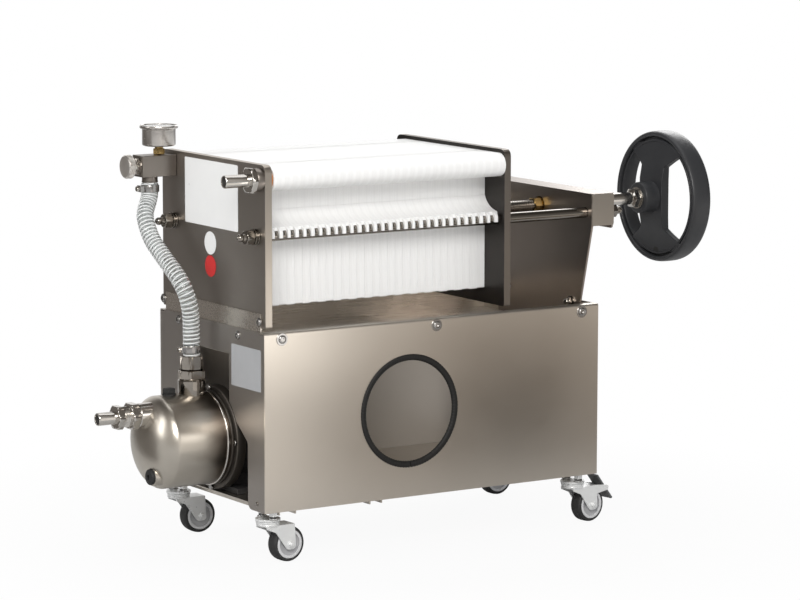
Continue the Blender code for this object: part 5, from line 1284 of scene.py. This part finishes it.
# %% Ribbed edging round the hole
CABINET_LENGTH, HALF_WIDTH = 0.519, 0.1367
HOLE_X, HOLE_Z = 0.2185, 0.1835
EDGE_SECTION = ((0.0660, -0.1352), (0.0672, -0.1378), (0.0690, -0.1389), (0.0722, -0.1389),
                (0.0741, -0.1384), (0.0748, -0.1372), (0.0746, -0.1368), (0.0702, -0.1368),
                (0.0698, -0.1352), (0.0702, -0.1350), (0.0742, -0.1350), (0.0746, -0.1342),
                (0.0736, -0.1332), (0.0690, -0.1332), (0.0672, -0.1338))
RIBS, GROOVE_SHARE = 110, 0.90
JOINT_HALF_ANGLE = radians(0.6)
bm = bmesh.new()
middle_r = sum(p[0] for p in EDGE_SECTION) / len(EDGE_SECTION)
middle_y = sum(p[1] for p in EDGE_SECTION) / len(EDGE_SECTION)
loops = []
for i in range(RIBS * 4):
    angle = -pi / 2 + JOINT_HALF_ANGLE + 2 * (pi - JOINT_HALF_ANGLE) * i / (RIBS * 4 - 1)
    share = GROOVE_SHARE if i % 4 in (0, 1) else 1.0
    loop = []
    for radius, y in EDGE_SECTION:
        reach = middle_r + (radius - middle_r) * share
        loop.append(bm.verts.new((HOLE_X + reach * cos(angle), middle_y + (y - middle_y) * share,
                                  HOLE_Z + reach * sin(angle))))
    loops.append(loop)
skin_over(bm, loops)
add_piece("hole_edging", bm, EDGING_RUBBER, sharp=45, stands_for=("hole_trim",))
print("edging:", new_pieces())

# %% Button screws with washers, on the panels and the end plates
def button_screw(bm, place, direction, washer=0.0080, head=0.0056, rise=0.0030):
    """A domed socket screw on a washer, standing off a face along an axis."""
    axis = direction[1]
    step = -1 if direction[0] == "-" else 1
    start = place["XYZ".index(axis)]
    centre = tuple(p for i, p in enumerate(place) if "XYZ"[i] != axis)
    sections = [(start, washer), (start + step * 0.0008, washer),
                (start + step * 0.0010, washer * 0.97), (start + step * 0.0010, head)]
    for degrees in (0, 25, 48, 66):
        sections.append((start + step * (0.0012 + (rise - 0.0012) * sin(radians(degrees)) / 0.92),
                         head * (0.42 + 0.58 * cos(radians(degrees)))))
    top = start + step * rise
    sections += [(top, 0.0022), (top, 0.0021, 6), (top - step * 0.0018, 0.0021, 6)]
    return lathe(bm, sections, axis, centre, 36)


bm = bmesh.new()
for x in (0.026, 0.260, 0.492):
    button_screw(bm, (x, -HALF_WIDTH, 0.293), "-Y")
    button_screw(bm, (x, HALF_WIDTH, 0.293), "+Y")
SMALL = {"washer": 0.0060, "head": 0.0048, "rise": 0.0028}
for y, z in ((0.086, 0.293), (-0.070, 0.292)):
    button_screw(bm, (0.0, y, z), "-X", **SMALL)
    button_screw(bm, (CABINET_LENGTH, y, z), "+X", **SMALL)
for y, z in ((0.1300, 0.316), (-0.1215, 0.315)):
    button_screw(bm, (0.0018, y, z), "-X", **SMALL)
add_piece("panel_screws", bm, ZINC)
bm = bmesh.new()
for y in (-0.117, 0.117):
    lathe(bm, [(0.0, 0.0030), (-0.0006, 0.0029), (-0.0011, 0.0020), (-0.0012, 0.0008)], "X",
          (y, 0.0800), 24)
add_piece("foot_rivets", bm, ROD_STEEL)
print("screws:", new_pieces())

# %% Dome nuts on the shoulder's foot, and the press plate's two bolts
bm = bmesh.new()
for y in (-0.0815, 0.0815):
    sections = [(SHOULDER_X, 0.0078), (0.5114, 0.0078), (0.5112, 0.0072)]
    sections += nut(0.5111, 0.5066, 0.0066, 0.0008)
    for degrees in (0, 25, 50, 72, 86):
        sections.append((0.5062 - 0.0050 * sin(radians(degrees)), 0.0054 * cos(radians(degrees))))
    lathe(bm, sections, "X", (y, 0.2985), 36)
add_piece("shoulder_dome_nuts", bm, ROD_STEEL)
bm = bmesh.new()
for y in (-0.1215, 0.1105):
    hex_bolt(bm, (PRESS_BACK, y, 0.3350), "+X", size=0.0056, head=0.0040)
add_piece("press_plate_bolts", bm, ZINC, "press_plate")
print("nuts and bolts:", new_pieces())

# %% Labels, all bare
def film(name, look, low, high, corner=0.0):
    """A thin film on a face, with its corners a little rounded when asked."""
    bm = bmesh.new()
    add_box(bm, low, high)
    if corner:
        edges = [e for e in bm.edges if abs(e.verts[0].co.x - e.verts[1].co.x) > 1e-5]
        bmesh.ops.bevel(bm, geom=edges, offset=corner, segments=4, affect="EDGES")
    return add_piece(name, bm, look)


film("head_label", LABEL, (0.00305, -0.066, 0.4240), (0.00335, 0.072, 0.5095), 0.0010)
film("type_label", TYPE_FILM, (-0.00025, -0.128, 0.2255), (0.00005, -0.053, 0.2795), 0.0010)
for label_name, look, radius, z in (("white", LABEL, 0.0150, 0.4026),
                                    ("red", RED_FILM, 0.0140, 0.3725)):
    disc = turned([(0.00335, radius), (0.00305, radius)], "X", (0.006, z), 48)
    add_piece(f"round_label_{label_name}", disc, look)
print("labels:", new_pieces())

# %% [markdown]
# ## Castors
#
# Each castor has its own turn, as photographed, so its pieces are built about the swivel axis and
# then placed by one matrix. The wheel's pieces ride on the wheel's body, the nuts on the fork's.

# %% Profiles of the tyre and the hub
WHEEL_TRAIL, CASTOR_RADIUS = 0.028, 0.0234
FORK_OUTSIDE = 0.0105 + 0.0018
CASTOR_PLACES = {"front_left": (0.0180, -0.1130, 4), "rear_left": (0.0110, 0.1100, -1),
                 "front_right": (0.4955, -0.1130, 9), "rear_right": (0.4950, 0.1130, 2)}
tyre = [(-0.0088, 0.0188), (-0.0090, 0.0196), (-0.0089, 0.0208), (-0.0082, 0.0221),
        (-0.0068, 0.0230), (-0.0045, 0.0233), (-0.0012, 0.0234)]
tyre += [(-a, r) for a, r in reversed(tyre)]
hub_ring = [(-0.0088, 0.0152), (-0.0092, 0.0156), (-0.0092, 0.0184), (-0.0088, 0.0189)]
hub_ring += [(-a, r) for a, r in reversed(hub_ring)]
hub_disc = [(-0.0094, 0.0034), (-0.0096, 0.0038), (-0.0096, 0.0058), (-0.0090, 0.0064),
            (-0.0072, 0.0070), (-0.0068, 0.0080), (-0.0066, 0.0140), (-0.0070, 0.0150),
            (-0.0086, 0.0154)]
hub_disc += [(-a, r) for a, r in reversed(hub_disc)]
wheel_axis = (WHEEL_TRAIL, CASTOR_RADIUS)
print("castors:", len(CASTOR_PLACES))

# %% Four castors from the same profiles
for place_name, (x, y, degrees) in CASTOR_PLACES.items():
    matrix = Matrix.Translation((MACHINE_X + x, y, 0)) @ Matrix.Rotation(radians(degrees), 4, "Z")
    wheel, fork = f"wheel_{place_name}", f"fork_{place_name}"
    add_piece(f"tyre_{place_name}", turned(tyre, "Y", wheel_axis, 72, ring=True), TYRE_RUBBER,
              wheel, sharp=50, matrix=matrix, stands_for=(f"castor_tyre_{place_name}",))
    add_piece(f"hub_ring_{place_name}", turned(hub_ring, "Y", wheel_axis, 72, ring=True), HUB_RING,
              wheel, matrix=matrix, stands_for=(f"castor_hub_{place_name}",))
    add_piece(f"hub_disc_{place_name}", turned(hub_disc, "Y", wheel_axis, 72, ring=True),
              HUB_PLASTIC, wheel, sharp=40, matrix=matrix)
    bm = bmesh.new()
    for side in (-1, 1):
        sections = [(side * FORK_OUTSIDE, 0.0046), (side * (FORK_OUTSIDE + 0.0006), 0.0046)]
        sections += nut(side * (FORK_OUTSIDE + 0.0007), side * (FORK_OUTSIDE + 0.0030),
                        0.0042, 0.0006)
        sections += [(side * (FORK_OUTSIDE + 0.0031), 0.0022),
                     (side * (FORK_OUTSIDE + 0.0044), 0.0020)]
        lathe(bm, sections, "Y", wheel_axis, 36)
    lathe(bm, [(-FORK_OUTSIDE, 0.0030), (FORK_OUTSIDE, 0.0030)], "Y", wheel_axis, 24)
    add_piece(f"axle_{place_name}", bm, CASTOR_ZINC, fork, matrix=matrix)
    race = [(0.0502, 0.0120), (0.0503, 0.0142), (0.0509, 0.0149), (0.0520, 0.0151),
            (0.0528, 0.0147), (0.0531, 0.0138), (0.0534, 0.0138), (0.0537, 0.0150),
            (0.0543, 0.0155), (0.0553, 0.0155), (0.0560, 0.0149), (0.0562, 0.0120)]
    add_piece(f"race_{place_name}", turned(race, "Z", (0, 0), 64), CASTOR_ZINC, fork, matrix=matrix)
    bm = bmesh.new()
    for stud in (-0.0137, 0.0137):
        sections = [(0.0595, 0.0066), (0.0603, 0.0066)] + nut(0.0604, 0.0646, 0.0058, 0.0008)
        lathe(bm, sections, "Z", (0, stud), 36)
    top = Matrix.Translation((MACHINE_X + x, y, 0))
    add_piece(f"stud_nuts_{place_name}", bm, ZINC, matrix=top)
print("castor pieces:", new_pieces())

# %% Finishes of the forks and pedals, which keep their solids
for node_name, node in NODES.items():
    if node_name.startswith("castor_fork"):
        dressed(node, CASTOR_ZINC, 0.0005)
    elif node_name.startswith("brake_pedal"):
        dressed(node, PEDAL_PLASTIC, 0.0005)

# %% [markdown]
# ## Hose
#
# The clear hose is a real tube with a wall, swept along a smooth path, and a helix of wire inside
# the wall. A curve with a round bevel would be shorter to write, but it can't give the wall its
# thickness, and the thickness is what makes clear plastic look right.

# %% The path of the hose
HOSE_POINTS = [
    (-0.029, 0.109, 0.4732), (-0.029, 0.109, 0.4672), (-0.029, 0.109, 0.4602),
    (-0.0335, 0.1055, 0.4490), (-0.0430, 0.0955, 0.4385), (-0.0490, 0.0845, 0.4270),
    (-0.0500, 0.0665, 0.4050), (-0.0475, 0.0455, 0.3877), (-0.0445, 0.0250, 0.3722),
    (-0.0420, 0.0084, 0.3585), (-0.0385, -0.0010, 0.3440), (-0.0340, -0.0040, 0.3265),
    (-0.0305, -0.0018, 0.3080), (-0.029, 0.0, 0.2900), (-0.029, 0.0, 0.2737),
    (-0.029, 0.0, 0.2667), (-0.029, 0.0, 0.2597)]
HOSE_RADIUS, HOSE_BORE = 0.0110, 0.0100
HELIX_PITCH, HELIX_RADIUS, HELIX_WIRE = 0.0054, 0.0106, 0.0010


def smooth_path(points, step):
    """Points at even distances on a curve that runs through all the given points."""
    route = [Vector(p) for p in points]
    ends = [route[0] * 2 - route[1]] + route + [route[-1] * 2 - route[-2]]
    dense = []
    for p0, p1, p2, p3 in zip(ends, ends[1:], ends[2:], ends[3:]):
        for k in range(24):
            t = k / 24
            dense.append(0.5 * (2 * p1 + (p2 - p0) * t + (2 * p0 - 5 * p1 + 4 * p2 - p3) * t * t
                                + (3 * p1 - p0 - 3 * p2 + p3) * t ** 3))
    dense.append(route[-1])
    for _ in range(60):
        dense = [dense[0]] + [(a + b * 2 + c) / 4 for a, b, c in
                              zip(dense, dense[1:], dense[2:])] + [dense[-1]]
    even, travelled, target = [dense[0]], 0.0, step
    for a, b in zip(dense, dense[1:]):
        piece_length = (b - a).length
        while travelled + piece_length >= target:
            even.append(a.lerp(b, (target - travelled) / piece_length))
            target += step
        travelled += piece_length
    if (even[-1] - dense[-1]).length > step * 0.3:
        even.append(dense[-1])
    return even


# %% Directions across the path
def frames_along(path):
    """A pair of directions across the path at each point, carried along without twist."""
    tangents = [(path[min(i + 1, len(path) - 1)] - path[max(i - 1, 0)]).normalized()
                for i in range(len(path))]
    across = tangents[0].cross(Vector((1, 0, 0))).normalized()
    made = []
    for tangent in tangents:
        across = (across - tangent * across.dot(tangent)).normalized()
        made.append((across, tangent.cross(across)))
    return made


# %% The wall of the hose
HOSE_STEP = 0.0020
path = smooth_path(HOSE_POINTS, HOSE_STEP)
frames = frames_along(path)
hose_length = sum((b - a).length for a, b in zip(path, path[1:]))
HOSE_SIDES = 40
around_hose = [2 * pi * k / HOSE_SIDES for k in range(HOSE_SIDES)]
bm = bmesh.new()
outer_loops, inner_loops = [], []
for radius, loops in ((HOSE_RADIUS, outer_loops), (HOSE_BORE, inner_loops)):
    for point, (a, b) in zip(path, frames):
        loops.append([bm.verts.new(point + (a * cos(angle) + b * sin(angle)) * radius)
                      for angle in around_hose])
for loops in (outer_loops, inner_loops):
    bridge(bm, zip(loops, loops[1:]))
bridge(bm, ((outer_loops[0], inner_loops[0]), (outer_loops[-1], inner_loops[-1])))
hose = add_piece("hose_tube", bm, HOSE_CLEAR, sharp=60, stands_for=("hose",))

# %% The helix of wire in the wall
WIRE_STEPS, WIRE_SIDES, WIRE_DEPTH, WIRE_WIDTH = 26, 6, 0.7, 1.3
around_wire = [2 * pi * k / WIRE_SIDES for k in range(WIRE_SIDES)]
bm = bmesh.new()
turns = hose_length / HELIX_PITCH
count = int(turns * WIRE_STEPS)
wire_loops = []
helix = []
for i in range(count + 1):
    along = (len(path) - 1) * i / count
    low = min(int(along), len(path) - 2)
    share = along - low
    centre = path[low].lerp(path[low + 1], share)
    a = frames[low][0].lerp(frames[low + 1][0], share)
    b = frames[low][1].lerp(frames[low + 1][1], share)
    angle = 2 * pi * turns * i / count
    outward = a * cos(angle) + b * sin(angle)
    helix.append((centre + outward * HELIX_RADIUS, outward))
for i, (point, outward) in enumerate(helix):
    ahead = helix[min(i + 1, count)][0] - helix[max(i - 1, 0)][0]
    side = ahead.normalized().cross(outward).normalized()
    wire_loops.append([bm.verts.new(point + (outward * cos(angle) * WIRE_DEPTH
                                             + side * sin(angle) * WIRE_WIDTH) * HELIX_WIRE)
                       for angle in around_wire])
skin_over(bm, wire_loops)
helix_wire = add_piece("hose_helix", bm, HOSE_WIRE, sharp=80)
print("hose pieces:", new_pieces())

# %% The length of the hose
print("hose length in metres:", round(hose_length, 4))

# %% Hose clamps: band, housing and worm screw
CLAMPS = (("lower", (-0.029, 0.0), 0.2677), ("upper", (-0.029, 0.109), 0.4662))
for clamp_name, place, middle in CLAMPS:
    band = [(middle - 0.0045, 0.0111), (middle - 0.0045, 0.0121), (middle - 0.0040, 0.0123),
            (middle + 0.0040, 0.0123), (middle + 0.0045, 0.0121), (middle + 0.0045, 0.0111)]
    add_piece(f"clamp_band_{clamp_name}", turned(band, "Z", place, 64, ring=True), ZINC,
              stands_for=(f"hose_clamp_{clamp_name}",))
    bm = bmesh.new()
    add_box(bm, (place[0] - 0.0168, place[1] - 0.0052, middle - 0.0044),
            (place[0] - 0.0100, place[1] + 0.0052, middle + 0.0044))
    add_piece(f"clamp_housing_{clamp_name}", bm, ZINC, soften=0.0010)
    screw = [(place[0] - 0.0160, 0.0026)]
    screw += nut(place[0] - 0.0162, place[0] - 0.0200, 0.0040, 0.0006)
    add_piece(f"clamp_screw_{clamp_name}", turned(screw, "X", (place[1], middle), 36), BRIGHT_STEEL)
print("clamps:", new_pieces())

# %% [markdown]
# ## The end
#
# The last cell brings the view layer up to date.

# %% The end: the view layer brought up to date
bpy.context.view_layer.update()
